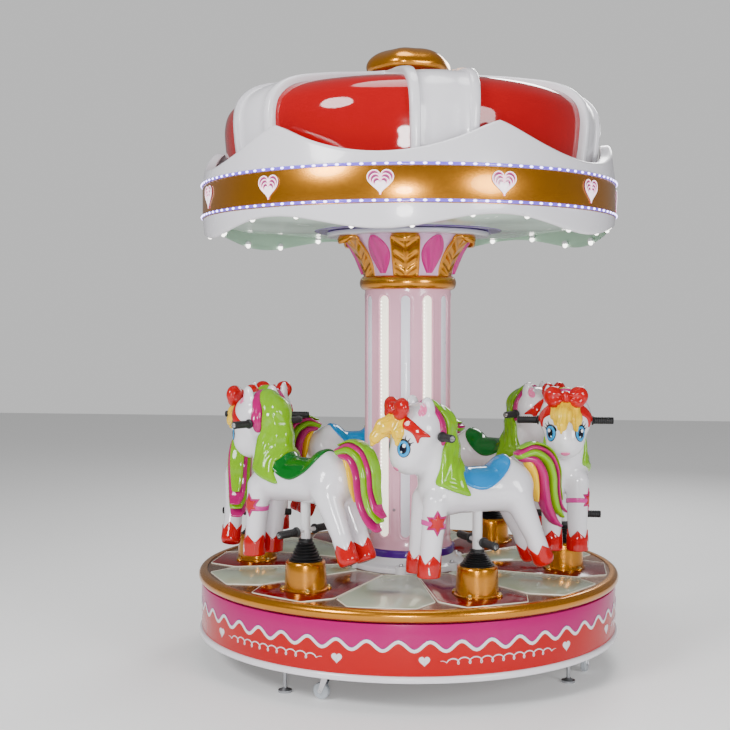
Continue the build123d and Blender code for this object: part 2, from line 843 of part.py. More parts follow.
leaf_planes = [outward_plane(0, leaf_bearing + 360 / leaf_count * k, ring_top) for k in range(leaf_count)]
with BuildPart() as leaf_prisms:
    with BuildSketch(*leaf_planes):
        with BuildLine():
            Polyline((0, 2), (-leaf_width / 2, 2), (-leaf_width / 2 + 6, leaf_height * 0.4))
            Line((-leaf_width / 2 + 6, leaf_height * 0.4), (-leaf_width * 0.42, leaf_height * 0.6))
            ThreePointArc(
                (-leaf_width * 0.42, leaf_height * 0.6),
                (0, leaf_height + 20),
                (leaf_width * 0.42, leaf_height * 0.6),
            )
            Line((leaf_width * 0.42, leaf_height * 0.6), (leaf_width / 2 - 6, leaf_height * 0.4))
            Polyline((leaf_width / 2 - 6, leaf_height * 0.4), (leaf_width / 2, 2), (0, 2))
        make_face()
    extrude(amount=canopy_disc_radius)

leaf_inner = [
    (capital_outer[0][0] + seat_gap, capital_outer[0][1] + 2),
    (capital_outer[1][0] + leaf_gap, capital_outer[1][1]),
    (capital_outer[2][0] + 2 * leaf_gap, capital_outer[2][1]),
]
leaf_tip = (capital_top_radius + 10, ring_top + leaf_height - 22)
with BuildPart() as capital_leaves:
    with BuildSketch(Plane.XZ):
        with BuildLine():
            Spline(*leaf_inner, leaf_tip)
            Line(leaf_tip, (leaf_tip[0], leaf_tip[1] - leaf_thickness))
            Spline(
                (leaf_tip[0], leaf_tip[1] - leaf_thickness),
                (leaf_inner[2][0] + leaf_thickness, leaf_inner[2][1] - 6),
                (leaf_inner[1][0] + leaf_thickness, leaf_inner[1][1]),
                (leaf_inner[0][0] + leaf_thickness, leaf_inner[0][1]),
            )
            Line((leaf_inner[0][0] + leaf_thickness, leaf_inner[0][1]), leaf_inner[0])
        make_face()
    revolve(axis=Axis.Z)
    add(leaf_prisms.part, mode=Mode.INTERSECT)

capital_leaves.part.label = "capital_leaves"
export_step(capital_leaves.part, "parts/capital_leaves.step")

with BuildPart() as capital_discs:
    with Locations((0, 0, abacus_low)):
        Cylinder(abacus_radius, abacus_height, align=STANDING)
    with Locations((0, 0, canopy_level + seat_gap)):
        Cylinder(canopy_disc_radius, canopy_disc_height - seat_gap, align=STANDING)
    with Locations((0, 0, canopy_level)):
        Cylinder(disc_bore, 6 * abacus_height, mode=Mode.SUBTRACT)
    with Locations((0, 0, abacus_low - disc_wall)):
        Cylinder(capital_top_radius - capital_wall, abacus_height, align=STANDING, mode=Mode.SUBTRACT)

capital_discs.part.label = "capital_discs"
export_step(capital_discs.part, "parts/capital_discs.step")

# ----------------------------------------------------------------------------- canopy

fascia_foot_level = canopy_level + fascia_lobe_level
fascia_band_low = canopy_level + gold_band_low - light_strip_height - light_strip_gap
fascia_band_high = canopy_level + gold_band_low + gold_band_height + light_strip_height + light_strip_gap
fascia_peak = canopy_level + fascia_peak_level
crown_middle = canopy_level + 465
crown_top = canopy_level + 735
fascia_face = [
    (fascia_foot_radius, fascia_foot_level),
    (fascia_radius, fascia_band_low),
    (fascia_radius, fascia_band_high),
    (fascia_top_radius, fascia_peak),
]


def arc_radius(half_chord, rise):
    """The radius of the arc that rises by a given height over its chord."""
    return (half_chord**2 + rise**2) / (2 * rise)


arch_half_chord = fascia_foot_radius * sin(radians(half_step)) - fascia_wave_flat / 2
arch_radius = arc_radius(arch_half_chord, fascia_arch_level - fascia_lobe_level)
valley_half_chord = fascia_top_radius * sin(radians(half_step)) - fascia_wave_flat / 2
valley_radius = arc_radius(valley_half_chord, fascia_peak_level - fascia_valley_level)
arch_planes = [
    outward_plane(crown_radius / 2, fascia_first_wave + horse_step * k, canopy_level)
    for k in range(fascia_wave_count)
]
valley_planes = [
    outward_plane(crown_radius / 2, fascia_first_wave + horse_step * (k + 0.5), canopy_level)
    for k in range(fascia_wave_count)
]

with BuildPart() as canopy_fascia:
    with BuildSketch(Plane.XZ):
        Polygon(
            *fascia_face,
            *[(radius - fascia_wall, level) for radius, level in reversed(fascia_face)],
            align=None,
        )
    revolve(axis=Axis.Z)
    with BuildSketch(*arch_planes):
        with Locations((0, fascia_arch_level - arch_radius)):
            Circle(arch_radius)
    extrude(amount=rim_radius, mode=Mode.SUBTRACT)
    with BuildSketch(*valley_planes):
        with Locations((0, fascia_valley_level + valley_radius)):
            Circle(valley_radius)
    extrude(amount=rim_radius, mode=Mode.SUBTRACT)

canopy_fascia.part.label = "canopy_fascia"
export_step(canopy_fascia.part, "parts/canopy_fascia.step")

band_radius = fascia_radius + seat_gap
with BuildPart() as gold_band:
    with BuildSketch(Plane.XZ):
        with Locations((band_radius + gold_band_thickness / 2, canopy_level + gold_band_low + gold_band_height / 2)):
            Rectangle(gold_band_thickness, gold_band_height)
    revolve(axis=Axis.Z)

gold_band.part.label = "gold_band"
export_step(gold_band.part, "parts/gold_band.step")

heart_level = canopy_level + gold_band_low + gold_band_height / 2
heart_planes = [
    outward_plane(band_radius + gold_band_thickness + seat_gap, 360 / heart_count * k, heart_level)
    for k in range(heart_count)
]
bulb_places = []
for k in range(bulb_count):
    bulb_bearing = 360 / bulb_count * (k + 0.5)
    arch_turn = (bulb_bearing - fascia_first_wave + half_step) % horse_step - half_step
    arch_side = fascia_foot_radius * sin(radians(arch_turn))
    arch_drop = arch_radius - (arch_radius**2 - arch_side**2) ** 0.5
    bulb_level = canopy_level + fascia_arch_level - arch_drop + bulb_radius / 2
    face_share = (bulb_level - fascia_foot_level) / (fascia_band_low - fascia_foot_level)
    face_radius = fascia_foot_radius + (fascia_radius - fascia_foot_radius) * face_share
    bulb_places.append(
        outward_plane(face_radius - fascia_wall - bulb_radius - 2 * seat_gap, bulb_bearing, bulb_level)
    )

with BuildPart() as canopy_lights:
    with BuildSketch(Plane.XZ):
        for strip_level in (fascia_band_low, fascia_band_high - light_strip_height):
            with Locations((band_radius + light_strip_depth / 2, strip_level + light_strip_height / 2)):
                Rectangle(light_strip_depth, light_strip_height)
    revolve(axis=Axis.Z)
    with BuildSketch(*heart_planes):
        with Locations((-heart_width / 4, heart_width / 6), (heart_width / 4, heart_width / 6)):
            Circle(heart_width / 4)
        Polygon(
            (-heart_width * 0.44, heart_width * 0.02),
            (0, -heart_width / 2),
            (heart_width * 0.44, heart_width * 0.02),
            (0, heart_width * 0.2),
            align=None,
        )
    extrude(amount=heart_thickness)
    with Locations(*bulb_places):
        Sphere(bulb_radius)

canopy_lights.part.label = "canopy_lights"
export_step(canopy_lights.part, "parts/canopy_lights.step")

ceiling_edge = fascia_foot_radius - fascia_wall - seat_gap
ceiling_low = canopy_level + 2
ceiling_high = fascia_band_low - 8
with BuildPart() as canopy_ceiling:
    with BuildSketch(Plane.XZ):
        Polygon(
            (canopy_disc_radius + seat_gap, ceiling_low),
            (ceiling_edge, ceiling_high),
            (ceiling_edge, ceiling_high + ceiling_wall),
            (canopy_disc_radius + seat_gap, ceiling_low + ceiling_wall),
            align=None,
        )
    revolve(axis=Axis.Z)

canopy_ceiling.part.label = "canopy_ceiling"
export_step(canopy_ceiling.part, "parts/canopy_ceiling.step")

arm_bearing = fascia_first_wave
arm_end = fascia_radius - fascia_wall - 1
crown_post_radius = 40
with BuildPart() as canopy_frame:
    with PolarLocations(mast_radius + 6, canopy_arm_count, start_angle=start_angle(arm_bearing)):
        with Locations((0, 0, arm_low)):
            Box(arm_end - mast_radius - 6, canopy_arm_width, canopy_arm_height, align=LYING)
    with PolarLocations(mast_radius + 30, canopy_arm_count, start_angle=start_angle(arm_bearing)):
        with Locations((0, 0, arm_low + tube_wall)):
            Box(
                arm_end - mast_radius - 40,
                canopy_arm_width - 2 * tube_wall,
                canopy_arm_height - 2 * tube_wall,
                align=LYING,
                mode=Mode.SUBTRACT,
            )
    with Locations((0, 0, canopy_level + canopy_disc_height)):
        Cylinder(mast_radius + 26, arm_top - canopy_level - canopy_disc_height, align=STANDING)
        Cylinder(mast_radius + seat_gap, 4 * arm_top, mode=Mode.SUBTRACT)
    with Locations((0, 0, arm_top)):
        Cylinder(mast_radius + 26, canopy_cap_thickness, align=STANDING)
    with Locations((0, 0, arm_top)):
        Cylinder(crown_post_radius, crown_top - arm_top, align=STANDING)
    with Locations((0, 0, arm_top + 2 * canopy_cap_thickness)):
        Cylinder(crown_post_radius - tube_wall, crown_top, align=STANDING, mode=Mode.SUBTRACT)

canopy_frame.part.label = "canopy_frame"
export_step(canopy_frame.part, "parts/canopy_frame.step")

# ------------------------------------------------------------------- crown and finial

crown_shape = [
    (crown_radius - 18, arm_top),
    (crown_radius - 16, crown_middle - 190),
    (crown_radius - 4, crown_middle - 90),
    (crown_radius, crown_middle + 10),
    (crown_radius - 26, crown_middle + 80),
    (crown_radius * 0.873, crown_middle + 135),
    (crown_radius * 0.666, crown_middle + 172),
    (crown_radius * 0.447, crown_middle + 200),
    (crown_radius * 0.274, crown_middle + 240),
    (finial_seat_radius, crown_top),
]


def crown_curve(shift):
    """The crown's outline moved outwards by a distance, square to the outline."""
    points = []
    last = len(crown_shape) - 1
    for index, (radius, level) in enumerate(crown_shape):
        before = crown_shape[max(index - 1, 0)]
        after = crown_shape[min(index + 1, last)]
        run_r = after[0] - before[0]
        run_z = after[1] - before[1]
        length = hypot(run_r, run_z)
        points.append((radius + shift * run_z / length, level - shift * run_r / length))
    return points


with BuildPart() as crown_dome:
    with BuildSketch(Plane.XZ):
        with BuildLine():
            dome_outside = Spline(*crown_curve(0))
            dome_inside = Spline(*crown_curve(-crown_wall))
            Line(dome_outside @ 0, dome_inside @ 0)
            Line(dome_outside @ 1, dome_inside @ 1)
        make_face()
    revolve(axis=Axis.Z)

crown_dome.part.label = "crown_dome"
export_step(crown_dome.part, "parts/crown_dome.step")

rib_foot = fascia_band_high


def rib_blank(low_shift, high_shift, inner_radius, width):
    """The crown's ribs between two shifts of its outline, cut to a width."""
    with BuildPart() as rib_boxes:
        with PolarLocations(inner_radius, rib_count, start_angle=start_angle(rib_bearing)):
            with Locations((0, 0, rib_foot)):
                Box(rim_radius, width, crown_top, align=LYING)
    with BuildPart() as blank:
        with BuildSketch(Plane.XZ):
            with BuildLine():
                rib_outside = Spline(*crown_curve(high_shift))
                rib_inside = Spline(*crown_curve(low_shift))
                Line(rib_outside @ 0, rib_inside @ 0)
                Line(rib_outside @ 1, rib_inside @ 1)
            make_face()
        revolve(axis=Axis.Z)
        add(rib_boxes.part, mode=Mode.INTERSECT)
    return blank.part


rib_hollow = rib_blank(
    -crown_wall,
    rib_proud - rib_wall,
    rib_inner_radius + rib_wall,
    rib_width - 2 * rib_wall,
)
with BuildPart() as crown_ribs:
    add(rib_blank(seat_gap, rib_proud, rib_inner_radius, rib_width))
    add(rib_hollow, mode=Mode.SUBTRACT)

crown_ribs.part.label = "crown_ribs"
export_step(crown_ribs.part, "parts/crown_ribs.step")

finial_middle = crown_top + finial_height * 0.4
with BuildPart() as finial:
    with BuildSketch(Plane.XZ):
        with BuildLine():
            Polyline((finial_seat_radius, crown_top), (0, crown_top), (0, crown_top + finial_height))
            ThreePointArc(
                (0, crown_top + finial_height),
                (finial_radius * 0.72, finial_middle + finial_height * 0.36),
                (finial_radius, finial_middle),
            )
            ThreePointArc(
                (finial_radius, finial_middle),
                (finial_radius * 0.9, crown_top + finial_height * 0.14),
                (finial_seat_radius, crown_top),
            )
        make_face()
    revolve(axis=Axis.Z)
    with Locations((0, 0, crown_top + finial_floor)):
        Cone(finial_seat_radius, finial_radius / 2, finial_height * 0.7, align=STANDING, mode=Mode.SUBTRACT)
    with Locations((0, 0, crown_top)):
        Cylinder(finial_vent_radius, 2 * finial_floor, align=STANDING, mode=Mode.SUBTRACT)

finial.part.label = "finial"
export_step(finial.part, "parts/finial.step")

# ----------------------------------------------------------------------------- horses

with BuildPart() as horse_body:
    limb((-150, 0, belly_height), (165, 0, belly_height), belly_radius + 1, belly_radius)
    with Locations((158, 0, belly_height + 8)):
        Sphere(100)
    with Locations((-147, 0, belly_height + 13)):
        Sphere(105)
    with Locations((-120, 0, belly_height + 78)):
        Sphere(61)
    limb((150, 0, 480), (262, 0, 690), 93, 79)
    with Locations((275, 0, 720)):
        Sphere(120)
    with Locations((317, 0, 628)):
        Sphere(84)
    limb((375, 0, 790), (448, 0, 692), 50, 18)
    limb((-225, 0, 556), (-338, 0, 548), 31, 36)
    limb((-330, 0, 556), (-378, 0, 430), 37.5, 39)
    limb((-374, 0, 440), (-426, 0, 285), 38, 13)
    for side in (-1, 1):
        limb((246, side * 70, 785), (238, side * 92, 880), 27, 7)
        limb((222, side * 57, 430), (252, side * 58, 150), 52, 41)
        limb((253, side * 58, 122), (251, side * 58, 168), 46, 44)
        limb((-160, side * 54, 440), (-262, side * 56, 220), 62, 38)
        limb((-286, side * 56, 162), (-256, side * 56, 228), 43, 40)
    limb((-140, 0, belly_height), (190, 0, belly_height), belly_hollow_radius, belly_hollow_radius - 1, Mode.SUBTRACT)
    limb((130, 0, 470), (255, 0, 690), 66, 56, Mode.SUBTRACT)
    with Locations((275, 0, 715)):
        Sphere(95, mode=Mode.SUBTRACT)
    with Locations((0, 0, belly_height - belly_radius)):
        Cylinder(post_radius + seat_gap, belly_radius, mode=Mode.SUBTRACT)
    with Locations((handlebar_reach, 0, handlebar_height)):
        Cylinder(handlebar_radius + seat_gap, handlebar_length, rotation=(90, 0, 0), mode=Mode.SUBTRACT)

bridge_low = beam_level + beam_height / 2 + bridge_gap
bridge_top = bridge_low + bridge_height
cheek_low = beam_level - cheek_drop
post_low = bridge_top - 2 - deck_level


def horse_frame_part(crosshead_turn):
    """The welded steel frame of one horse; its crosshead is turned to meet its beam."""
    with BuildPart() as welded_frame:
        with Locations((0, 0, post_low)):
            Cylinder(post_radius, post_top - post_low, align=STANDING)
        limb((0, 0, neck_bar_height - 20), (neck_bar_reach, 0, neck_bar_height), neck_bar_radius, neck_bar_radius - 1)
        with Locations((neck_bar_reach, 0, neck_bar_height)):
            Sphere(neck_bar_radius + 1)
        limb(
            (neck_bar_reach, 0, neck_bar_height),
            (handlebar_reach, 0, handlebar_height),
            neck_bar_radius,
            neck_bar_radius - 1,
        )
        with Locations((handlebar_reach, 0, handlebar_height)):
            Cylinder(handlebar_radius, handlebar_length, rotation=(90, 0, 0))
        with Locations((0, 0, foot_bar_height)):
            Cylinder(foot_bar_radius, foot_bar_length, rotation=(90, 0, 0))
        with Locations((0, 0, post_low - 1)):
            Cylinder(post_radius - post_wall, post_top - post_low - 6, align=STANDING, mode=Mode.SUBTRACT)
        crosshead = Location((0, 0, -deck_level), (0, 0, crosshead_turn))
        with Locations(crosshead):
            with Locations((0, 0, bridge_low)):
                Box(cheek_width, beam_width + 2 * (cheek_gap + cheek_plate), bridge_height, align=STANDING)
            for side in (-1, 1):
                cheek_middle = side * (beam_width / 2 + cheek_gap + cheek_plate / 2)
                with Locations((0, cheek_middle, cheek_low)):
                    Box(cheek_width, cheek_plate, bridge_low + 1 - cheek_low, align=STANDING)
            with Locations((0, 0, beam_level)):
                Cylinder(beam_pin_radius, beam_width + 2 * (cheek_gap + cheek_plate), rotation=(90, 0, 0))
    return welded_frame.part


horse_frames = [horse_frame_part(half_step), horse_frame_part(-half_step)]

grip_middle = (handlebar_length - hand_grip_length) / 2
peg_middle = (foot_bar_length - foot_peg_length) / 2
with BuildPart() as horse_grips:
    for side in (-1, 1):
        with Locations((handlebar_reach, side * (grip_middle + 2), handlebar_height)):
            Cylinder(hand_grip_radius, hand_grip_length, rotation=(90, 0, 0))
        with Locations((handlebar_reach, side * (grip_middle + 2 - hand_grip_length / 2 + 6), handlebar_height)):
            Cylinder(hand_grip_radius + 5, 12, rotation=(90, 0, 0))
        with Locations((0, side * (peg_middle + 4), foot_bar_height)):
            Cylinder(foot_peg_radius, foot_peg_length, rotation=(90, 0, 0))
        with Locations((0, side * (peg_middle + 4 - foot_peg_length / 2 + 7), foot_bar_height)):
            Cylinder(foot_peg_radius + 5, 14, rotation=(90, 0, 0))
    with Locations((handlebar_reach, 0, handlebar_height)):
        Cylinder(handlebar_radius + seat_gap, handlebar_length, rotation=(90, 0, 0), mode=Mode.SUBTRACT)
    with Locations((0, 0, foot_bar_height)):
        Cylinder(foot_bar_radius + seat_gap, foot_bar_length, rotation=(90, 0, 0), mode=Mode.SUBTRACT)

for number in range(horse_count):
    name = f"horse_{number + 1}"

    with BuildPart() as horse_shell:
        with Locations(horse_plane(number)):
            add(horse_body.part)
    horse_shell.part.label = f"{name}_shell"
    export_step(horse_shell.part, f"parts/{name}_shell.step")

    with BuildPart() as horse_frame:
        with Locations(horse_plane(number)):
            add(horse_frames[number % 2])
    horse_frame.part.label = f"{name}_frame"
    export_step(horse_frame.part, f"parts/{name}_frame.step")

    with BuildPart() as grips:
        with Locations(horse_plane(number)):
            add(horse_grips.part)
    grips.part.label = f"{name}_grips"
    export_step(grips.part, f"parts/{name}_grips.step")

# ----------------------------------------------------------------------- rocker beams

for pair, bearing in enumerate(pair_bearings):
    along = Vector(cos(radians(bearing)), sin(radians(bearing)), 0)
    tilted = along * cos(radians(beam_tilt)) - Vector(0, 0, sin(radians(beam_tilt)))
    upward = along * sin(radians(beam_tilt)) + Vector(0, 0, cos(radians(beam_tilt)))
    pivot = upright_plane(beam_radius, bearing, beam_level).origin

    with BuildPart(Plane(origin=pivot, x_dir=tilted, z_dir=upward)) as rocker_beam:
        Box(2 * (beam_reach + beam_overhang), beam_width, beam_height)
        Cylinder(trunnion_radius, 2 * (bracket_inner + bracket_plate) + 6, rotation=(90, 0, 0))
        slot_radius = beam_pin_radius + pivot_clearance
        for end in (-1, 1):
            with Locations((end * beam_reach, 0, 0)):
                Box(2 * beam_slot_play, 2 * beam_width, 2 * slot_radius, mode=Mode.SUBTRACT)
            with Locations(
                (end * beam_reach - beam_slot_play, 0, 0),
                (end * beam_reach + beam_slot_play, 0, 0),
            ):
                Cylinder(slot_radius, 2 * beam_width, rotation=(90, 0, 0), mode=Mode.SUBTRACT)

    rocker_beam.part.label = f"rocker_beam_{pair + 1}"
    export_step(rocker_beam.part, f"parts/rocker_beam_{pair + 1}.step")
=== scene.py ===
import math

import bmesh
import bpy
import numpy as np
from bpy.props import FloatProperty, FloatVectorProperty, IntProperty, PointerProperty
from mathutils import Matrix, Vector


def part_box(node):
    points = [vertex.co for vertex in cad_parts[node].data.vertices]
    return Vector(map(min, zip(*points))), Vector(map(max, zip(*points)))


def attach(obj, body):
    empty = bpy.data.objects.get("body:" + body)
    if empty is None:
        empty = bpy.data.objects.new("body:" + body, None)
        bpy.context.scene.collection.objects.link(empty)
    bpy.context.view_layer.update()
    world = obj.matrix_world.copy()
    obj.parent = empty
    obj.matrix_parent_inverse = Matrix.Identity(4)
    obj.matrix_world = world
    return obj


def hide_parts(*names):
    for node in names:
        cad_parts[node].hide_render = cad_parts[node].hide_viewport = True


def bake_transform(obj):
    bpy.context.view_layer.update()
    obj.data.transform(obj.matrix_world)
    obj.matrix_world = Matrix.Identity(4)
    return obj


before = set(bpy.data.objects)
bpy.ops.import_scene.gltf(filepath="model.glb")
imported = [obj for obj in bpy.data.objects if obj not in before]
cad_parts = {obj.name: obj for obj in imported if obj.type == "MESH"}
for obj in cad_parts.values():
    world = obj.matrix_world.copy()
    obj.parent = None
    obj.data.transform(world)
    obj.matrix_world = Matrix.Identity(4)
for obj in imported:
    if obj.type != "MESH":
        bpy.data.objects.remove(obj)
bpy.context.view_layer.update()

# A six-horse children's carousel with a lit column and a crown canopy.  Metres.  The
# spin axis is Z, the floor is at zero and the front is -Y.  A bearing is an angle in
# degrees from the front towards +X.

bl_info = {
    "name": "Children's Carousel",
    "version": (1, 0, 0),
    "blender": (4, 5, 0),
    "location": "3D View > Sidebar > Carousel",
    "description": "Builds the painted bodywork, horses and lamps of a children's carousel around its frame",
    "category": "Object",
}

TAU = 2 * math.pi
HORSES = 6
HORSE_STEP = 60
FIRST_HORSE = -30
DECK_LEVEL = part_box("deck_panels")[1].z
PEDESTAL_FLANGE = 0.1
HORSE_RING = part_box("horse_pedestals")[1].x - PEDESTAL_FLANGE
CANOPY_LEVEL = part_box("canopy_fascia")[0].z + 0.05
REST_LIFT = 0.012


# ---------------------------------------------------------------------------- settings


def paint(red, green, blue):
    """A colour from its 0 to 255 display values."""
    parts = []
    for value in (red, green, blue):
        share = value / 255
        parts.append(share / 12.92 if share <= 0.04045 else ((share + 0.055) / 1.055) ** 2.4)
    return tuple(parts)


def colour_setting(name, description, default):
    """A colour that a user can change."""
    return FloatVectorProperty(
        name=name, description=description, default=default, size=3, min=0, max=1, subtype="COLOR"
    )


def length_setting(name, description, default):
    """A length that a user can change."""
    return FloatProperty(name=name, description=description, default=default, min=0, unit="LENGTH")


class CarouselColours(bpy.types.PropertyGroup):
    """The paints and lamp colours of the carousel."""

    white: colour_setting("White", "White gelcoat of the canopy, trim and horses", paint(232, 230, 236))
    magenta: colour_setting("Magenta", "Upper skirt, manes and tails", paint(176, 8, 104))
    red: colour_setting("Red", "Lower skirt, bows and hooves", paint(186, 0, 6))
    crown: colour_setting("Crown red", "Mirror-gloss crown", paint(170, 0, 12))
    gold: colour_setting("Gold", "Metallic gold lacquer", paint(204, 132, 28))
    deck: colour_setting("Deck bronze", "Glossy deck floor", paint(120, 70, 20))
    dark_panel: colour_setting("Dark panel", "Dark red deck panels", paint(118, 0, 10))
    pale_panel: colour_setting("Pale panel", "Pale deck panels", paint(176, 188, 162))
    pink: colour_setting("Column pink", "Fluted column shell", paint(240, 176, 198))
    lavender: colour_setting("Lavender", "Unlit flutes", paint(238, 236, 248))
    purple: colour_setting("Purple", "Column ring and canopy disc", paint(78, 20, 138))
    lime: colour_setting("Lime", "Mane and tail", paint(122, 180, 0))
    yellow: colour_setting("Yellow", "Forelock and tail", paint(246, 198, 0))
    saddle_green: colour_setting("Green saddle", "Saddle of every third horse", paint(0, 100, 26))
    saddle_blue: colour_setting("Blue saddle", "Saddle of every third horse", paint(6, 128, 196))
    saddle_orange: colour_setting("Orange saddle", "Saddle of every third horse", paint(226, 84, 4))
    ceiling: colour_setting("Ceiling", "Pale green canopy lining", paint(186, 216, 196))
    lamp: colour_setting("Lamp", "Violet-white lamp strips", (0.62, 0.55, 1.0))
    flute_light: colour_setting("Flute light", "Warm white column lamps", (1.0, 0.93, 0.78))


class CarouselSizes(bpy.types.PropertyGroup):
    """The sizes of the carousel's repeated and finished pieces."""

    strip_lamps: IntProperty(name="Strip lamps", description="Lamps in a canopy strip", default=120, min=12)
    skirt_waves: IntProperty(name="Skirt waves", description="Waves round the skirt", default=48, min=6)
    skirt_wave_height: length_setting("Skirt wave", "Height of the skirt's wave from its middle", 0.019)
    bulb: length_setting("Bulb radius", "Radius of a canopy bulb", 0.012)
    heart: length_setting("Heart width", "Width of a canopy heart", 0.11)
    bolt: length_setting("Bolt radius", "Radius of a bolt head", 0.008)
    pleats: IntProperty(name="Bellows pleats", description="Pleats of each bellows", default=6, min=3)
    skin_cell: length_setting("Skin cell", "Mesh cell of a horse's skin", 0.0085)
    relief_cell: length_setting("Relief cell", "Mesh cell of a horse's raised shapes", 0.0053)


def colours():
    """The colour settings of the open scene."""
    return bpy.context.scene.carousel_colours


def sizes():
    """The size settings of the open scene."""
    return bpy.context.scene.carousel_sizes


# --------------------------------------------------------------------------- materials

made_materials = {}


def finish(name, colour, rough=0.3, metal=0.0, coat=0.0, grain=0.0, grain_scale=60.0, shade=0.06,
           rough_shade=0.08, glow=0.0, glow_colour=None, shine=0.5):
    """A painted, moulded or metal surface with mottled colour, mottled gloss and a fine grain."""
    if name in made_materials:
        return made_materials[name]
    material = bpy.data.materials.new(name)
    made_materials[name] = material
    material.use_nodes = True
    tree = material.node_tree
    shader = tree.nodes["Principled BSDF"]
    shader.inputs["Metallic"].default_value = metal
    shader.inputs["Coat Weight"].default_value = coat
    shader.inputs["Coat Roughness"].default_value = 0.04
    shader.inputs["IOR"].default_value = 1.5
    shader.inputs["Specular IOR Level"].default_value = shine
    place = tree.nodes.new("ShaderNodeTexCoord")
    broad = tree.nodes.new("ShaderNodeTexNoise")
    broad.inputs["Scale"].default_value = 5.0
    broad.inputs["Detail"].default_value = 4.0
    tree.links.new(place.outputs["Object"], broad.inputs["Vector"])
    tint = tree.nodes.new("ShaderNodeMix")
    tint.data_type = "RGBA"
    tint.inputs[6].default_value = (*[min(1, c * (1 + shade)) for c in colour], 1)
    tint.inputs[7].default_value = (*[c * (1 - shade) for c in colour], 1)
    tree.links.new(broad.outputs["Fac"], tint.inputs[0])
    tree.links.new(tint.outputs[2], shader.inputs["Base Color"])
    gloss = tree.nodes.new("ShaderNodeMapRange")
    gloss.inputs["From Min"].default_value = 0.3
    gloss.inputs["From Max"].default_value = 0.7
    gloss.inputs["To Min"].default_value = max(0.02, rough - rough_shade / 2)
    gloss.inputs["To Max"].default_value = rough + rough_shade / 2
    fine = tree.nodes.new("ShaderNodeTexNoise")
    fine.inputs["Scale"].default_value = grain_scale
    fine.inputs["Detail"].default_value = 5.0
    tree.links.new(place.outputs["Object"], fine.inputs["Vector"])
    tree.links.new(fine.outputs["Fac"], gloss.inputs["Value"])
    tree.links.new(gloss.outputs["Result"], shader.inputs["Roughness"])
    if grain:
        bump = tree.nodes.new("ShaderNodeBump")
        bump.inputs["Strength"].default_value = grain
        bump.inputs["Distance"].default_value = 0.002
        tree.links.new(fine.outputs["Fac"], bump.inputs["Height"])
        tree.links.new(bump.outputs["Normal"], shader.inputs["Normal"])
    if glow:
        shader.inputs["Emission Color"].default_value = (*(glow_colour or colour), 1)
        shader.inputs["Emission Strength"].default_value = glow
    return material


def white_gelcoat():
    return finish(
        "white_gelcoat", colours().white, rough=0.24, coat=0.35, grain=0.05, grain_scale=14, shade=0.03
    )


def horse_white():
    return finish("horse_white", colours().white, rough=0.16, coat=0.6, grain=0.06, grain_scale=11, shade=0.03)


def gloss(name, colour, rough=0.12):
    return finish(name, colour, rough=rough, coat=0.3, grain=0.05, grain_scale=12, shade=0.07, shine=0.35)


def gold_lacquer():
    return finish(
        "gold_lacquer", colours().gold, rough=0.24, metal=0.85, coat=0.4, grain=0.015, grain_scale=90,
        shade=0.12, rough_shade=0.05,
    )


def lamp_glow(name, colour, strength):
    return finish(name, colour, rough=0.2, glow=strength, glow_colour=colour, shade=0.02)


def purple_paint():
    return gloss("purple_paint", colours().purple)


def canopy_lining():
    return finish(
        "canopy_lining", colours().ceiling, rough=0.24, coat=0.4, grain=0.08, grain_scale=8, shade=0.05
    )


def skirt_paint():
    """Magenta above a wave and red below it, round the skirt."""
    if "skirt_paint" in made_materials:
        return made_materials["skirt_paint"]
    material = finish(
        "skirt_paint", colours().magenta, rough=0.2, coat=0.1, grain=0.04, grain_scale=10, shine=0.25
    )
    tree = material.node_tree
    shader = tree.nodes["Principled BSDF"]
    place = tree.nodes.new("ShaderNodeTexCoord")
    split = tree.nodes.new("ShaderNodeSeparateXYZ")
    tree.links.new(place.outputs["Object"], split.inputs["Vector"])
    ahead = math_node(tree, "MULTIPLY", split.outputs["Y"], -1.0)
    turn = math_node(tree, "ARCTAN2", split.outputs["X"], ahead)
    waves = math_node(tree, "MULTIPLY", turn, float(sizes().skirt_waves))
    shift = SKIRT_WAVE_PHASE * sizes().skirt_waves
    swing = math_node(tree, "COSINE", math_node(tree, "SUBTRACT", waves, shift))
    rise = math_node(tree, "MULTIPLY", swing, sizes().skirt_wave_height)
    upper = math_node(tree, "GREATER_THAN", split.outputs["Z"], math_node(tree, "ADD", rise, SKIRT_WAVE_LEVEL))
    mix = tree.nodes.new("ShaderNodeMix")
    mix.data_type = "RGBA"
    mix.inputs[6].default_value = (*colours().red, 1)
    tint = shader.inputs["Base Color"].links[0].from_socket
    tree.links.new(tint, mix.inputs[7])
    tree.links.new(upper, mix.inputs[0])
    tree.links.new(mix.outputs[2], shader.inputs["Base Color"])
    return material


# -------------------------------------------------------------------------- mesh tools


def outward(bearing):
    """The level direction away from the axis at a bearing."""
    turn = math.radians(bearing)
    return Vector((math.sin(turn), -math.cos(turn), 0))


def around(radius, turn, level):
    """The point at a radius, a turn from the front and a level."""
    return (radius * math.sin(turn), -radius * math.cos(turn), level)


def link_mesh(name, mesh):
    """An object for a mesh, in the open scene."""
    obj = bpy.data.objects.new(name, mesh)
    bpy.context.scene.collection.objects.link(obj)
    return obj


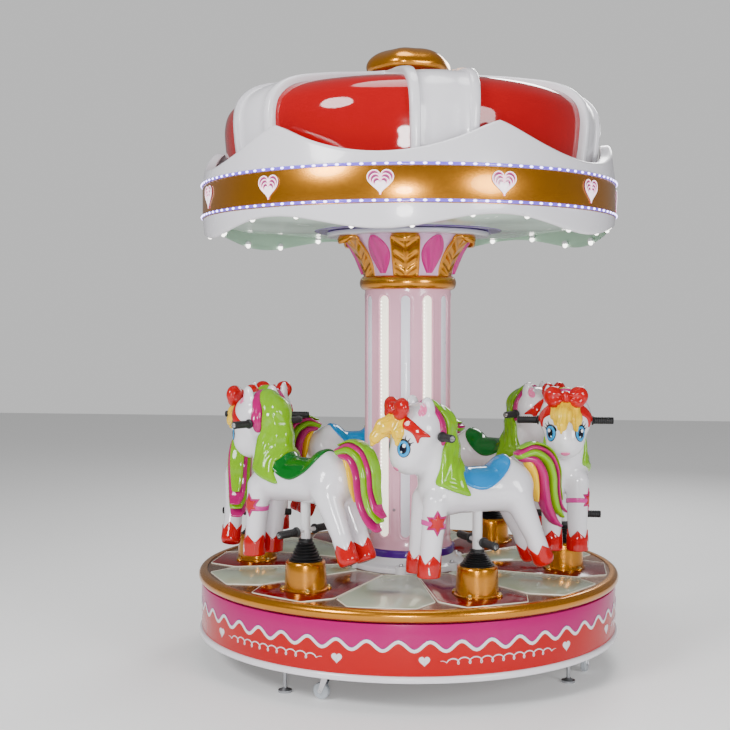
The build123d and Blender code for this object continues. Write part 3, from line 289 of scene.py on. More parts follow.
def solid(name, points, faces, material, smooth_angle=35, merge=1e-6):
    """A closed mesh object whose doubles are merged and whose faces point outwards."""
    mesh = bpy.data.meshes.new(name)
    mesh.from_pydata([tuple(map(float, p)) for p in points], [], [tuple(map(int, f)) for f in faces])
    shape = bmesh.new()
    shape.from_mesh(mesh)
    bmesh.ops.remove_doubles(shape, verts=shape.verts, dist=merge)
    bmesh.ops.dissolve_degenerate(shape, edges=shape.edges, dist=merge)
    bmesh.ops.recalc_face_normals(shape, faces=shape.faces)
    shape.to_mesh(mesh)
    shape.free()
    mesh.shade_smooth()
    mesh.set_sharp_from_angle(angle=math.radians(smooth_angle))
    mesh.materials.append(material)
    return link_mesh(name, mesh)


def keep(obj, body, replaces=()):
    """Puts a finished piece on its body and hides the frame nodes it stands for."""
    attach(obj, body)
    if replaces:
        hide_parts(*replaces)
    return obj


def join(name, objects):
    """One object from several that share a body; each keeps its own materials."""
    mesh = bpy.data.meshes.new(name)
    shape = bmesh.new()
    materials = []
    for obj in objects:
        start = len(shape.faces)
        shape.from_mesh(obj.data)
        shape.faces.ensure_lookup_table()
        slots = []
        for material in obj.data.materials:
            if material not in materials:
                materials.append(material)
            slots.append(materials.index(material))
        for face in shape.faces[start:]:
            face.material_index = slots[face.material_index] if slots else 0
    shape.to_mesh(mesh)
    shape.free()
    for material in materials:
        mesh.materials.append(material)
    for obj in objects:
        bpy.data.objects.remove(obj)
    return link_mesh(name, mesh)


def placed_copy(obj, name, matrix):
    """A copy of a piece, moved in its mesh."""
    mesh = obj.data.copy()
    mesh.transform(matrix)
    mesh.name = name
    return link_mesh(name, mesh)


def rounded(points, radius, steps=4):
    """A closed outline with each corner rounded."""
    out = []
    count = len(points)
    for index in range(count):
        corner = np.array(points[index], float)
        before = np.array(points[index - 1], float) - corner
        after = np.array(points[(index + 1) % count], float) - corner
        reach = min(radius, 0.45 * np.linalg.norm(before), 0.45 * np.linalg.norm(after))
        start = corner + before / max(np.linalg.norm(before), 1e-9) * reach
        end = corner + after / max(np.linalg.norm(after), 1e-9) * reach
        for step in range(steps + 1):
            t = step / steps
            out.append(tuple((1 - t) ** 2 * start + 2 * t * (1 - t) * corner + t**2 * end))
    return out


def smooth_line(points, per_span=8, closed=False):
    """A Catmull-Rom line through points of any dimension."""
    points = [np.array(p, float) for p in points]
    count = len(points)
    out = []
    spans = count if closed else count - 1
    for index in range(spans):
        a = points[index - 1] if closed or index else points[0] * 2 - points[1]
        b = points[index]
        c = points[(index + 1) % count]
        if closed or index + 2 < count:
            d = points[(index + 2) % count]
        else:
            d = points[-1] * 2 - points[-2]
        for step in range(per_span):
            t = step / per_span
            square, cube = 2 * a - 5 * b + 4 * c - d, 3 * b - a - 3 * c + d
            out.append(0.5 * (2 * b + (c - a) * t + square * t**2 + cube * t**3))
    if not closed:
        out.append(points[-1])
    return np.array(out)


def loop_faces(count, rings):
    """Faces of a grid of points that closes both ways."""
    faces = []
    for i in range(count):
        n = (i + 1) % count
        for j in range(rings):
            k = (j + 1) % rings
            faces.append((i * rings + j, i * rings + k, n * rings + k, n * rings + j))
    return faces


def lathe(name, profile, material, segments=192, warp=None, smooth_angle=35):
    """A closed outline of radius and level turned round the axis; warp may reshape a ring of points."""
    profile = np.array(profile, float)
    rings = len(profile)
    turns = np.arange(segments) * TAU / segments
    radius = np.repeat(profile[None, :, 0], segments, 0)
    level = np.repeat(profile[None, :, 1], segments, 0)
    turn = np.repeat(turns[:, None], rings, 1)
    if warp:
        radius, level = warp(radius, level, turn)
    points = np.stack([radius * np.sin(turn), -radius * np.cos(turn), level], -1).reshape(-1, 3)
    return solid(name, points, loop_faces(segments, rings), material, smooth_angle)


def plate_faces(count, rings):
    """Side and cap faces of a pile of equal rings."""
    faces = []
    for ring in range(rings - 1):
        for i in range(count):
            j = (i + 1) % count
            faces.append((ring * count + i, ring * count + j, (ring + 1) * count + j, (ring + 1) * count + i))
    faces.append(tuple(reversed(range(count))))
    faces.append(tuple((rings - 1) * count + i for i in range(count)))
    return faces


def sheet_faces(rows, columns):
    """Faces of a front and a back grid of points that share an edge band."""
    count = rows * columns
    faces = []
    for i in range(rows - 1):
        for j in range(columns - 1):
            a = i * columns + j
            faces.append((a, a + 1, a + columns + 1, a + columns))
            faces.append((count + a, count + a + columns, count + a + columns + 1, count + a + 1))
    rim = list(range(columns)) + [i * columns + columns - 1 for i in range(1, rows)]
    rim += [(rows - 1) * columns + j for j in range(columns - 2, -1, -1)]
    rim += [i * columns for i in range(rows - 2, 0, -1)]
    for a, b in zip(rim, rim[1:] + rim[:1]):
        faces.append((a, b, count + b, count + a))
    return faces


def pile(name, rows, sides, material, place, smooth_angle=40):
    """A capped pile of rings; place turns a row's values and an angle into a point."""
    points = [place(*row, TAU * i / sides) for row in rows for i in range(sides)]
    return solid(name, points, plate_faces(sides, len(rows)), material, smooth_angle)


def upright(centre, foot):
    """Places a pile's reach and level round an upright line."""
    return lambda reach, level, a: (
        centre.x + reach * math.cos(a), centre.y + reach * math.sin(a), foot + level)


def inset(outline, distance):
    """An outline moved inwards by a small distance."""
    outline = np.array(outline, float)
    after = np.roll(outline, -1, 0)
    area = 0.5 * np.sum(outline[:, 0] * after[:, 1] - after[:, 0] * outline[:, 1])
    run = after - np.roll(outline, 1, 0)
    run /= np.maximum(np.linalg.norm(run, axis=1, keepdims=True), 1e-9)
    normal = np.stack([-run[:, 1], run[:, 0]], 1) * math.copysign(1, area)
    return outline + normal * distance


def plate(name, outline, thickness, material, place, bevel=0.001):
    """A plate with rounded upper edges; place turns its x, y and height into a point."""
    outline = np.array(outline, float)
    layers = [
        (outline, 0.0),
        (outline, thickness - bevel),
        (inset(outline, bevel * 0.3), thickness - bevel * 0.3),
        (inset(outline, bevel), thickness),
    ]
    points = []
    for layer, height in layers:
        points.extend(place(x, y, height) for x, y in layer)
    return solid(name, points, plate_faces(len(outline), len(layers)), material, smooth_angle=50)


def on_drum(radius, bearing, level):
    """Wraps a plate's x and y round a drum, with its height outwards."""
    first = math.radians(bearing)
    return lambda x, y, height: around(radius + height, first + x / radius, level + y)


def tube(name, path, radii, material, sides=20, flat=None, up=(0, 1, 0), smooth_angle=60):
    """A tube along points, with its own radius at each; flat gives its half-width along `up`."""
    path = np.array(path, float)
    radii = np.array(radii, float)
    flat = radii if flat is None else np.array(flat, float)
    run = np.gradient(path, axis=0)
    run /= np.linalg.norm(run, axis=1, keepdims=True)
    up = np.array(up, float)
    side = np.cross(run, up)
    side /= np.maximum(np.linalg.norm(side, axis=1, keepdims=True), 1e-9)
    over = np.cross(side, run)
    turns = np.arange(sides) * TAU / sides
    points = []
    for centre, a, b, radius, width in zip(path, side, over, radii, flat):
        for turn in turns:
            points.append(centre + a * radius * math.cos(turn) + b * width * math.sin(turn))
    return solid(name, points, plate_faces(sides, len(path)), material, smooth_angle)


def round_ends(path, radii, flat=None, steps=5):
    """Closes a tube's ends with a rounded cap."""
    path = np.array(path, float)
    radii = np.array(radii, float)
    flat = radii if flat is None else np.array(flat, float)
    head = path[0] - path[1]
    head /= np.linalg.norm(head)
    tail = path[-1] - path[-2]
    tail /= np.linalg.norm(tail)
    first, last = [], []
    for step in range(steps):
        turn = math.pi / 2 * (step + 0.2) / steps
        reach, share = math.cos(turn), math.sin(turn)
        first.append((path[0] + head * radii[0] * reach, radii[0] * share, flat[0] * share))
        last.insert(0, (path[-1] + tail * radii[-1] * reach, radii[-1] * share, flat[-1] * share))
    rows = first + list(zip(path, radii, flat)) + last
    return [r[0] for r in rows], [r[1] for r in rows], [r[2] for r in rows]


# ------------------------------------------------------------------------ node arrays


def new_tree(name, inputs):
    """An empty Geometry Nodes tree with named inputs."""
    tree = bpy.data.node_groups.new(name, "GeometryNodeTree")
    tree.interface.new_socket("Geometry", in_out="INPUT", socket_type="NodeSocketGeometry")
    for label, kind in inputs:
        tree.interface.new_socket(label, in_out="INPUT", socket_type=kind)
    tree.interface.new_socket("Geometry", in_out="OUTPUT", socket_type="NodeSocketGeometry")
    return tree, tree.nodes.new("NodeGroupInput"), tree.nodes.new("NodeGroupOutput")


def math_node(tree, operation, first, second=None):
    """A math node; each of its inputs is a number or another node's output."""
    node = tree.nodes.new("ShaderNodeMath")
    node.operation = operation
    for socket, value in ((0, first), (1, second)):
        if isinstance(value, (int, float)):
            node.inputs[socket].default_value = value
        elif value is not None:
            tree.links.new(value, node.inputs[socket])
    return node.outputs[0]


def end_tree(tree, given, result, points, turn):
    """Puts the piece on each point, makes it real and gives it its finish."""
    piece = tree.nodes.new("GeometryNodeObjectInfo")
    tree.links.new(given.outputs["Piece"], piece.inputs["Object"])
    spread = tree.nodes.new("GeometryNodeInstanceOnPoints")
    tree.links.new(points, spread.inputs["Points"])
    tree.links.new(piece.outputs["Geometry"], spread.inputs["Instance"])
    tree.links.new(turn, spread.inputs["Rotation"])
    tree.links.new(given.outputs["Size"], spread.inputs["Scale"])
    real = tree.nodes.new("GeometryNodeRealizeInstances")
    tree.links.new(spread.outputs["Instances"], real.inputs["Geometry"])
    painted = tree.nodes.new("GeometryNodeSetMaterial")
    tree.links.new(real.outputs["Geometry"], painted.inputs["Geometry"])
    tree.links.new(given.outputs["Finish"], painted.inputs["Material"])
    tree.links.new(painted.outputs["Geometry"], result.inputs["Geometry"])


def ring_tree():
    """Pieces in a level ring round the axis, each facing outwards."""
    if "carousel_ring" in bpy.data.node_groups:
        return bpy.data.node_groups["carousel_ring"]
    tree, given, result = new_tree("carousel_ring", [
        ("Piece", "NodeSocketObject"), ("Count", "NodeSocketInt"), ("Radius", "NodeSocketFloat"),
        ("Level", "NodeSocketFloat"), ("First Bearing", "NodeSocketFloat"), ("Size", "NodeSocketFloat"),
        ("Finish", "NodeSocketMaterial"),
    ])
    index = tree.nodes.new("GeometryNodeInputIndex").outputs[0]
    step = math_node(tree, "DIVIDE", TAU, given.outputs["Count"])
    turn = math_node(tree, "ADD", given.outputs["First Bearing"], math_node(tree, "MULTIPLY", index, step))
    x = math_node(tree, "MULTIPLY", given.outputs["Radius"], math_node(tree, "SINE", turn))
    y = math_node(tree, "MULTIPLY", given.outputs["Radius"], math_node(tree, "COSINE", turn))
    spot = tree.nodes.new("ShaderNodeCombineXYZ")
    tree.links.new(x, spot.inputs[0])
    tree.links.new(math_node(tree, "MULTIPLY", y, -1.0), spot.inputs[1])
    tree.links.new(given.outputs["Level"], spot.inputs[2])
    points = tree.nodes.new("GeometryNodePoints")
    tree.links.new(given.outputs["Count"], points.inputs["Count"])
    tree.links.new(spot.outputs[0], points.inputs["Position"])
    spin = tree.nodes.new("ShaderNodeCombineXYZ")
    tree.links.new(turn, spin.inputs[2])
    end_tree(tree, given, result, points.outputs[0], spin.outputs[0])
    return tree


def place_tree():
    """Pieces on the points of a mesh, turned by each point's own angle."""
    if "carousel_places" in bpy.data.node_groups:
        return bpy.data.node_groups["carousel_places"]
    tree, given, result = new_tree("carousel_places", [
        ("Piece", "NodeSocketObject"), ("Size", "NodeSocketFloat"), ("Finish", "NodeSocketMaterial"),
    ])
    turn = tree.nodes.new("GeometryNodeInputNamedAttribute")
    turn.data_type = "FLOAT_VECTOR"
    turn.inputs["Name"].default_value = "turn"
    end_tree(tree, given, result, given.outputs["Geometry"], turn.outputs["Attribute"])
    return tree


def grow(name, host_mesh, tree, settings):
    """Runs a node tree once and keeps its result as a plain mesh object."""
    host = link_mesh(name + "_host", host_mesh)
    modifier = host.modifiers.new("array", "NODES")
    modifier.node_group = tree
    for item in tree.interface.items_tree:
        if item.item_type == "SOCKET" and item.in_out == "INPUT" and item.name in settings:
            modifier[item.identifier] = settings[item.name]
    depsgraph = bpy.context.evaluated_depsgraph_get()
    mesh = bpy.data.meshes.new_from_object(host.evaluated_get(depsgraph), depsgraph=depsgraph)
    host.modifiers.remove(modifier)
    bpy.data.objects.remove(host)
    bpy.data.objects.remove(settings["Piece"])
    mesh.name = name
    mesh.shade_smooth()
    mesh.set_sharp_from_angle(angle=math.radians(40))
    if not mesh.materials:
        mesh.materials.append(settings["Finish"])
    if len(mesh.polygons) == 0:
        raise RuntimeError(f"{name} came out empty")
    return link_mesh(name, mesh)


def ring_of(name, piece, count, radius, level, first_bearing, material):
    """Copies of a piece in a ring round the axis, as one object."""
    return grow(name, bpy.data.meshes.new(name), ring_tree(), {
        "Piece": piece, "Count": count, "Radius": radius, "Level": level,
        "First Bearing": math.radians(first_bearing), "Size": 1.0, "Finish": material,
    })


def pieces_at(name, piece, places, turns, material):
    """Copies of a piece at listed places and turns, as one object."""
    mesh = bpy.data.meshes.new(name)
    mesh.from_pydata([tuple(p) for p in places], [], [])
    turn = mesh.attributes.new("turn", "FLOAT_VECTOR", "POINT")
    for index, value in enumerate(turns):
        turn.data[index].vector = tuple(value)
    return grow(name, mesh, place_tree(), {"Piece": piece, "Size": 1.0, "Finish": material})


def stud(name, radius, height, sides=12, dome=0.6):
    """A small domed stud that stands along -Y, for the node trees."""
    rows = [(radius, 0.0), (radius, height * (1 - dome)), (radius * 0.72, height * (1 - dome * 0.35)),
            (radius * 0.3, height)]
    return pile(name, rows, sides, white_gelcoat(), lambda reach, lift, a: (
        reach * math.cos(a), -lift, reach * math.sin(a)))


def bolt_head(name, radius):
    """A hexagon bolt head on a washer that stands along +Z, for the node trees."""
    rows = [
        (radius * 1.5, 0.0, False), (radius * 1.5, radius * 0.22, False), (radius * 1.32, radius * 0.3, False),
        (radius * 0.98, radius * 0.3, True), (radius, radius * 0.95, True),
        (radius * 0.8, radius * 1.12, False),
    ]

    def place(reach, lift, six_sided, turn):
        if six_sided:
            reach *= math.cos(math.pi / 6) / math.cos((turn % (math.pi / 3)) - math.pi / 6)
        return (reach * math.cos(turn), reach * math.sin(turn), lift)

    return pile(name, rows, 24, white_gelcoat(), place, 30)


def heart_outline(width, count=64):
    """A heart with straight lower sides; its point is down."""
    turns = np.arange(count) * TAU / count
    x = 16 * np.sin(turns) ** 3
    y = 13.5 * np.cos(turns) - 4.6 * np.cos(2 * turns) - 2 * np.cos(3 * turns) - np.cos(4 * turns)
    return np.stack([x, y + 2.2], 1)[::-1] * (width / 32)


def band_plate(name, outline, width, thickness, material, place):
    """A raised closed line of even width that follows an outline."""
    outer, inner = np.array(outline, float), inset(outline, width)
    rows = [(outer, 0.0), (outer, thickness * 0.7), (inset(outer, width * 0.3), thickness),
            (inset(outer, width * 0.7), thickness), (inner, thickness * 0.7), (inner, 0.0)]
    points = [place(x, y, height) for row, height in rows for x, y in row]
    return solid(name, points, loop_faces(len(rows), len(outer)), material, 50)


# ------------------------------------------------------------------------------- stage

FLOOR_REACH = 14.0
CAMERA_BEARING = 6.5
CAMERA_REACH = 5.886
CAMERA_LEVEL = 1.591
CAMERA_ASIDE = math.radians(2.0)
CAMERA_DOWN = math.radians(2.1)
LIGHTS = (
    ("key_light", (-3.6, -5.2, 4.6), 330, 2.2, (0, 0, 1.3)),
    ("fill_light", (4.8, -4.6, 2.6), 170, 2.2, (0, 0, 1.2)),
    ("front_light", (0.6, -7.0, 1.7), 150, 1.0, (0, 0, 1.2)),
    ("back_light", (1.5, 5.2, 4.4), 170, 2.6, (0, 0, 1.6)),
    ("top_light", (0.0, -0.6, 6.2), 110, 2.6, (0, 0, 1.5)),
)


class CAROUSEL_OT_stage(bpy.types.Operator):
    """Adds the floor, the soft lights and the camera"""

    bl_idname = "carousel.stage"
    bl_label = "Stage"

    def execute(self, context):
        scene = context.scene
        self.floor()
        for name, place, power, size, target in LIGHTS:
            light = bpy.data.lights.new(name, "AREA")
            light.energy = power
            light.shape = "DISK"
            light.size = size
            obj = bpy.data.objects.new(name, light)
            obj.location = place
            obj.rotation_euler = (Vector(target) - Vector(place)).to_track_quat("-Z", "Y").to_euler()
            scene.collection.objects.link(obj)
        self.world(scene)
        camera = bpy.data.cameras.new("camera")
        camera.sensor_width = 36
        camera.lens = 60.4
        viewer = bpy.data.objects.new("camera", camera)
        spot = outward(CAMERA_BEARING) * CAMERA_REACH
        viewer.location = (spot.x, spot.y, CAMERA_LEVEL)
        heading = math.atan2(-spot.x, -spot.y) - CAMERA_ASIDE
        direction = Vector((math.sin(heading), math.cos(heading), math.tan(-CAMERA_DOWN)))
        viewer.rotation_euler = direction.to_track_quat("-Z", "Y").to_euler()
        scene.collection.objects.link(viewer)
        scene.camera = viewer
        return {"FINISHED"}

    def floor(self):
        """A plain pale floor."""
        floor = bpy.data.meshes.new("floor")
        corners = [(x * FLOOR_REACH, y * FLOOR_REACH, 0) for x, y in ((-1, -1), (1, -1), (1, 1), (-1, 1))]
        floor.from_pydata(corners, [], [(0, 1, 2, 3)])
        floor.materials.append(finish("studio_floor", paint(246, 246, 246), rough=0.6, shade=0.0, glow=0.2))
        link_mesh("floor", floor)

    def world(self, scene):
        """A dim white surround that looks as bright as the floor behind the carousel."""
        world = bpy.data.worlds.new("studio")
        scene.world = world
        world.use_nodes = True
        tree = world.node_tree
        background = tree.nodes["Background"]
        background.inputs["Color"].default_value = (1, 1, 1, 1)
        background.inputs["Strength"].default_value = 0.24
        backdrop = tree.nodes.new("ShaderNodeBackground")
        backdrop.inputs["Strength"].default_value = 0.85
        rays = tree.nodes.new("ShaderNodeLightPath")
        choose = tree.nodes.new("ShaderNodeMixShader")
        tree.links.new(rays.outputs["Is Camera Ray"], choose.inputs[0])
        tree.links.new(background.outputs[0], choose.inputs[1])
        tree.links.new(backdrop.outputs[0], choose.inputs[2])
        tree.links.new(choose.outputs[0], tree.nodes["World Output"].inputs["Surface"])


# ------------------------------------------------------------------------ frame finish


class CAROUSEL_OT_frame_finish(bpy.types.Operator):
    """Gives every piece of the frame its paint, plating or rubber"""

    bl_idname = "carousel.frame_finish"
    bl_label = "Frame Finish"

    def execute(self, context):
        zinc_grey, gear_grey, enamel_white = paint(176, 178, 182), paint(120, 120, 124), paint(226, 226, 228)
        tyre_grey, motor_blue, box_grey = paint(172, 178, 184), paint(50, 88, 130), paint(205, 206, 208)
        steel = finish("frame_paint", paint(52, 54, 58), rough=0.42, grain=0.2, grain_scale=180, shade=0.12)
        zinc = finish("zinc_plate", zinc_grey, rough=0.34, metal=0.9, grain=0.08, grain_scale=300, shade=0.08)
        chrome = finish("chrome_plate", paint(205, 206, 210), rough=0.14, metal=1.0, shade=0.03)
        gear = finish("gear_steel", gear_grey, rough=0.38, metal=0.95, grain=0.15, grain_scale=400, shade=0.15)
        enamel = finish(
            "white_enamel", enamel_white, rough=0.2, coat=0.5, grain=0.05, grain_scale=30, shade=0.03
        )
        tyre = finish("clear_tyre", tyre_grey, rough=0.28, coat=0.2, grain=0.1, grain_scale=90)
        bronze = finish("guide_bronze", paint(182, 140, 84), rough=0.32, metal=0.9, grain=0.1, grain_scale=300)
        floor = finish(
            "deck_gelcoat", colours().deck, rough=0.26, metal=0.6, coat=0.2, grain=0.05, grain_scale=9,
            shade=0.16,
        )
        special = {
            "levelling_feet": zinc,
            "slew_ring_fixed": gear,
            "slew_ring_gear": gear,
            "drive_pinion": gear,
            "drive_motor": finish("motor_paint", motor_blue, rough=0.35, grain=0.3, grain_scale=120, shade=0.08),
            "control_box": finish("box_paint", box_grey, rough=0.4, grain=0.4, grain_scale=500, shade=0.03),
            "slip_ring": finish("insulator", paint(30, 30, 32), rough=0.5, grain=0.2, grain_scale=200),
            "post_guides": bronze,
            "deck": floor,
        }
        for name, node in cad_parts.items():
            material = special.get(name, steel)
            if name.endswith("_fork"):
                material = chrome
            elif name.endswith("_wheel"):
                material = tyre
            elif name.startswith("horse_") and name.endswith("_frame"):
                material = enamel
            node.data.materials.clear()
            node.data.materials.append(material)
        return {"FINISHED"}


# ------------------------------------------------------------------------------- skirt

SKIRT_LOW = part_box("skirt_panels")[0].z
SKIRT_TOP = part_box("skirt_panels")[1].z
SKIRT_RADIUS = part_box("skirt_panels")[1].x
SKIRT_WAVE_LEVEL = SKIRT_LOW + 0.58 * (SKIRT_TOP - SKIRT_LOW)
SKIRT_WAVE_PHASE = math.radians(4.4)
SKIRT_WALL = 0.004
SKIRT_LIP = 0.03
PANEL_SEAM = 0.0015
PAINT_GAP = 0.0002
HEART_ASIDE = 19.5
SCROLL_LENGTH = 0.54
SCROLL_LOOPS = 11
TRIM_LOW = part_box("skirt_trim")[0].z
TRIM_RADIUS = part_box("skirt_trim")[1].x


def wave_ring(name, material, width, low_shift, proud, steps_per_wave=12):
    """A raised line that follows the skirt's wave."""
    waves = sizes().skirt_waves
    count = waves * steps_per_wave
    turns = np.arange(count) * TAU / count
    phase = waves * (turns - SKIRT_WAVE_PHASE)
    middle = SKIRT_WAVE_LEVEL + low_shift + sizes().skirt_wave_height * np.cos(phase)
    slope = -sizes().skirt_wave_height * waves * np.sin(phase) / SKIRT_RADIUS
    across = np.stack([-slope, np.ones(count)], 1) / np.sqrt(1 + slope**2)[:, None]
    section = [(-0.5, 0.0), (-0.5, 0.5), (-0.3, 0.9), (0.0, 1.0), (0.3, 0.9), (0.5, 0.5), (0.5, 0.0)]
    points = []
    for index in range(count):
        for offset, lift in section:
            turn = turns[index] + across[index, 0] * offset * width / SKIRT_RADIUS
            level = middle[index] + across[index, 1] * offset * width
            points.append(around(SKIRT_RADIUS + PAINT_GAP + lift * proud, turn, level))
    return solid(name, points, loop_faces(count, len(section)), material, 60)


class CAROUSEL_OT_skirt(bpy.types.Operator):
    """Makes the painted skirt, its wavy line, its hearts and scrolls, and the white trim"""

    bl_idname = "carousel.skirt"
    bl_label = "Skirt and Trim"

    def execute(self, context):
        white = white_gelcoat()
        inner = SKIRT_RADIUS - SKIRT_WALL
        outline = rounded([
            (SKIRT_RADIUS, SKIRT_LOW + 0.001), (SKIRT_RADIUS, SKIRT_TOP), (SKIRT_RADIUS - SKIRT_LIP, SKIRT_TOP),
            (SKIRT_RADIUS - SKIRT_LIP, SKIRT_TOP - 0.003), (inner, SKIRT_TOP - 0.003),
            (inner, SKIRT_LOW + 0.001),
        ], 0.0012, 2)

        def seams(radius, level, turn):
            near = np.abs(((turn - math.radians(30) + TAU / 12) % (TAU / 6)) - TAU / 12) * SKIRT_RADIUS
            return radius - PANEL_SEAM * np.exp(-((near / 0.003) ** 2)) * (radius > SKIRT_RADIUS - 0.002), level

        skirt = lathe("skirt_panel_ring", outline, skirt_paint(), segments=480, warp=seams)
        keep(skirt, "base", ["skirt_panels"])
        keep(wave_ring("skirt_wave_line", white, 0.0135, 0.0, 0.0022), "base")
        shadow = gloss("skirt_shadow", paint(120, 22, 120))
        keep(wave_ring("skirt_wave_shadow", shadow, 0.0035, 0.0085, 0.0012), "base")
        trim = lathe("skirt_trim_ring", rounded([
            (TRIM_RADIUS - 0.011, SKIRT_LOW + 0.001), (TRIM_RADIUS - 0.004, SKIRT_LOW - 0.001),
            (TRIM_RADIUS, SKIRT_LOW - 0.009), (TRIM_RADIUS, TRIM_LOW + 0.003), (TRIM_RADIUS - 0.003, TRIM_LOW),
            (TRIM_RADIUS - 0.018, TRIM_LOW), (TRIM_RADIUS - 0.018, SKIRT_LOW - 0.006),
            (TRIM_RADIUS - 0.016, SKIRT_LOW + 0.001),
        ], 0.003, 3), white, segments=240)
        keep(trim, "base", ["skirt_trim"])
        self.ornaments(white)
        return {"FINISHED"}

    def ornaments(self, white):
        """A running scroll between two hearts on each of six panels."""
        level = SKIRT_LOW + 0.062
        hearts = []
        scrolls = []
        for number in range(HORSES):
            middle = FIRST_HORSE + HORSE_STEP * number
            for side in (-1, 1):
                place = on_drum(SKIRT_RADIUS + PAINT_GAP, middle + side * HEART_ASIDE, level)
                hearts.append(plate(f"heart_{number}_{side}", heart_outline(0.046, 40), 0.0022, white, place))
            place = on_drum(SKIRT_RADIUS + PAINT_GAP, middle, level)
            t = np.linspace(0, 1, 361)
            to_end = np.minimum(t, 1 - t)
            swell = 0.0135 * np.minimum(1, 7 * to_end + 0.1)
            turn = TAU * SCROLL_LOOPS * t
            line = np.stack([SCROLL_LENGTH * (t - 0.5) + swell * np.sin(turn), swell * np.cos(turn)], 1)
            width = (0.0012 + 0.0010 * np.abs(np.cos(turn / 2))) * np.minimum(1, 12 * to_end + 0.3)
            scrolls.append(
                self.strip(f"scroll_{number}", line, -line_normals(line), width, 0.002, white, place))
        keep(join("skirt_hearts", hearts), "base")
        keep(join("skirt_scrolls", scrolls), "base")

    def strip(self, name, line, normal, width, thickness, material, place):
        """A raised line of changing width, wrapped on the skirt."""
        rows = [(-1.0, 0.0), (-1.0, 0.6), (-0.5, 1.0), (0.5, 1.0), (1.0, 0.6), (1.0, 0.0)]
        points = []
        for centre, across, half in zip(line, normal, width):
            for offset, lift in rows:
                x, y = centre + across * offset * half
                points.append(place(x, y, lift * thickness))
        return solid(name, points, plate_faces(len(rows), len(line)), material, 60)


# -------------------------------------------------------------------------------- deck

RIM_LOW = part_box("deck_rim")[0].z
RIM_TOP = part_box("deck_rim")[1].z
RIM_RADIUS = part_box("deck_rim")[1].x
RIM_NOSE = 0.0275
PANEL_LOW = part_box("deck_panels")[0].z
PANEL_STEP = 30
PANEL_CORNERS = [(0.3, -14.6), (0.83, -14.6), (0.95, -8.5)]


class CAROUSEL_OT_deck(bpy.types.Operator):
    """Makes the glossy deck panels with their pale edges, and the gold rim"""

    bl_idname = "carousel.deck"
    bl_label = "Deck and Rim"

    def execute(self, context):
        self.panels()
        self.rim()
        return {"FINISHED"}

    def panels(self):
        dark = finish(
            "dark_panel", colours().dark_panel, rough=0.16, coat=0.15, shine=0.3, grain=0.03, grain_scale=7,
            shade=0.12,
        )
        pale = finish("pale_panel", colours().pale_panel, rough=0.18, coat=0.3, grain=0.03, grain_scale=7)
        edge = finish("panel_edge", paint(236, 232, 214), rough=0.25, coat=0.3, shade=0.04)
        corners = []
        for radius, angle in PANEL_CORNERS + [(radius, -angle) for radius, angle in reversed(PANEL_CORNERS)]:
            turn = math.radians(angle)
            corners.append((radius * math.cos(turn), radius * math.sin(turn)))
        outline = np.array(rounded(corners, 0.012, 3))
        thickness = DECK_LEVEL - PANEL_LOW
        groups = {"dark": [], "pale": []}
        edges = []
        for number in range(2 * HORSES):
            out = outward(PANEL_STEP * number)
            side = Vector((-out.y, out.x, 0))

            def place(x, y, height, out=out, side=side):
                point = out * x + side * y
                return (point.x, point.y, PANEL_LOW + height)

            shade, material = ("dark", dark) if number % 2 else ("pale", pale)
            groups[shade].append(plate(f"panel_{number}", outline, thickness - 0.0008, material, place, 0.0012))
            edges.append(band_plate(f"edge_{number}", inset(outline, -0.0012), 0.0042, thickness, edge, place))
        for shade, group in groups.items():
            keep(join("deck_panels_" + shade, group), "turntable", ["deck_panels"])
        keep(join("deck_panel_edges", edges), "turntable", ["deck_panels"])

    def rim(self):
        middle = (RIM_LOW + RIM_TOP) / 2
        half = (RIM_TOP - RIM_LOW) / 2
        back = RIM_RADIUS - 0.041
        nose = [(RIM_RADIUS - RIM_NOSE + RIM_NOSE * math.cos(a), middle + half * math.sin(a))
                for a in np.linspace(math.pi / 2, -math.pi / 2, 18)]
        outline = [(back, RIM_TOP - 0.001)] + nose + [
            (RIM_RADIUS - RIM_NOSE, RIM_LOW + 0.004), (RIM_RADIUS - 0.006, middle),
            (RIM_RADIUS - 0.037, RIM_TOP - 0.006), (back, RIM_TOP - 0.006),
        ]
        rim = lathe("deck_rim_roll", outline, gold_lacquer(), segments=288)
        keep(rim, "turntable", ["deck_rim"])


# -------------------------------------------------------------- pedestals and bellows

PEDESTAL_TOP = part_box("horse_pedestals")[1].z
BELLOWS_TOP = DECK_LEVEL + 0.21
BELLOWS_FOOT_RADIUS = 0.070
BELLOWS_NECK_RADIUS = 0.036
POST_RADIUS = 0.021
LUG_REACH = 0.098
LUG_HEIGHT = 0.0094
LUG_RINGS = ((0.016, 0.0005), (0.016, 0.007), (0.0145, 0.0088), (0.008, LUG_HEIGHT))


def horse_centre(number):
    """The foot of a horse's post, at the axis's own level."""
    return outward(FIRST_HORSE + HORSE_STEP * number) * HORSE_RING


def horse_lift(number):
    """How far a horse stands above the middle of its travel at rest."""
    return REST_LIFT if number % 2 == 0 else -REST_LIFT


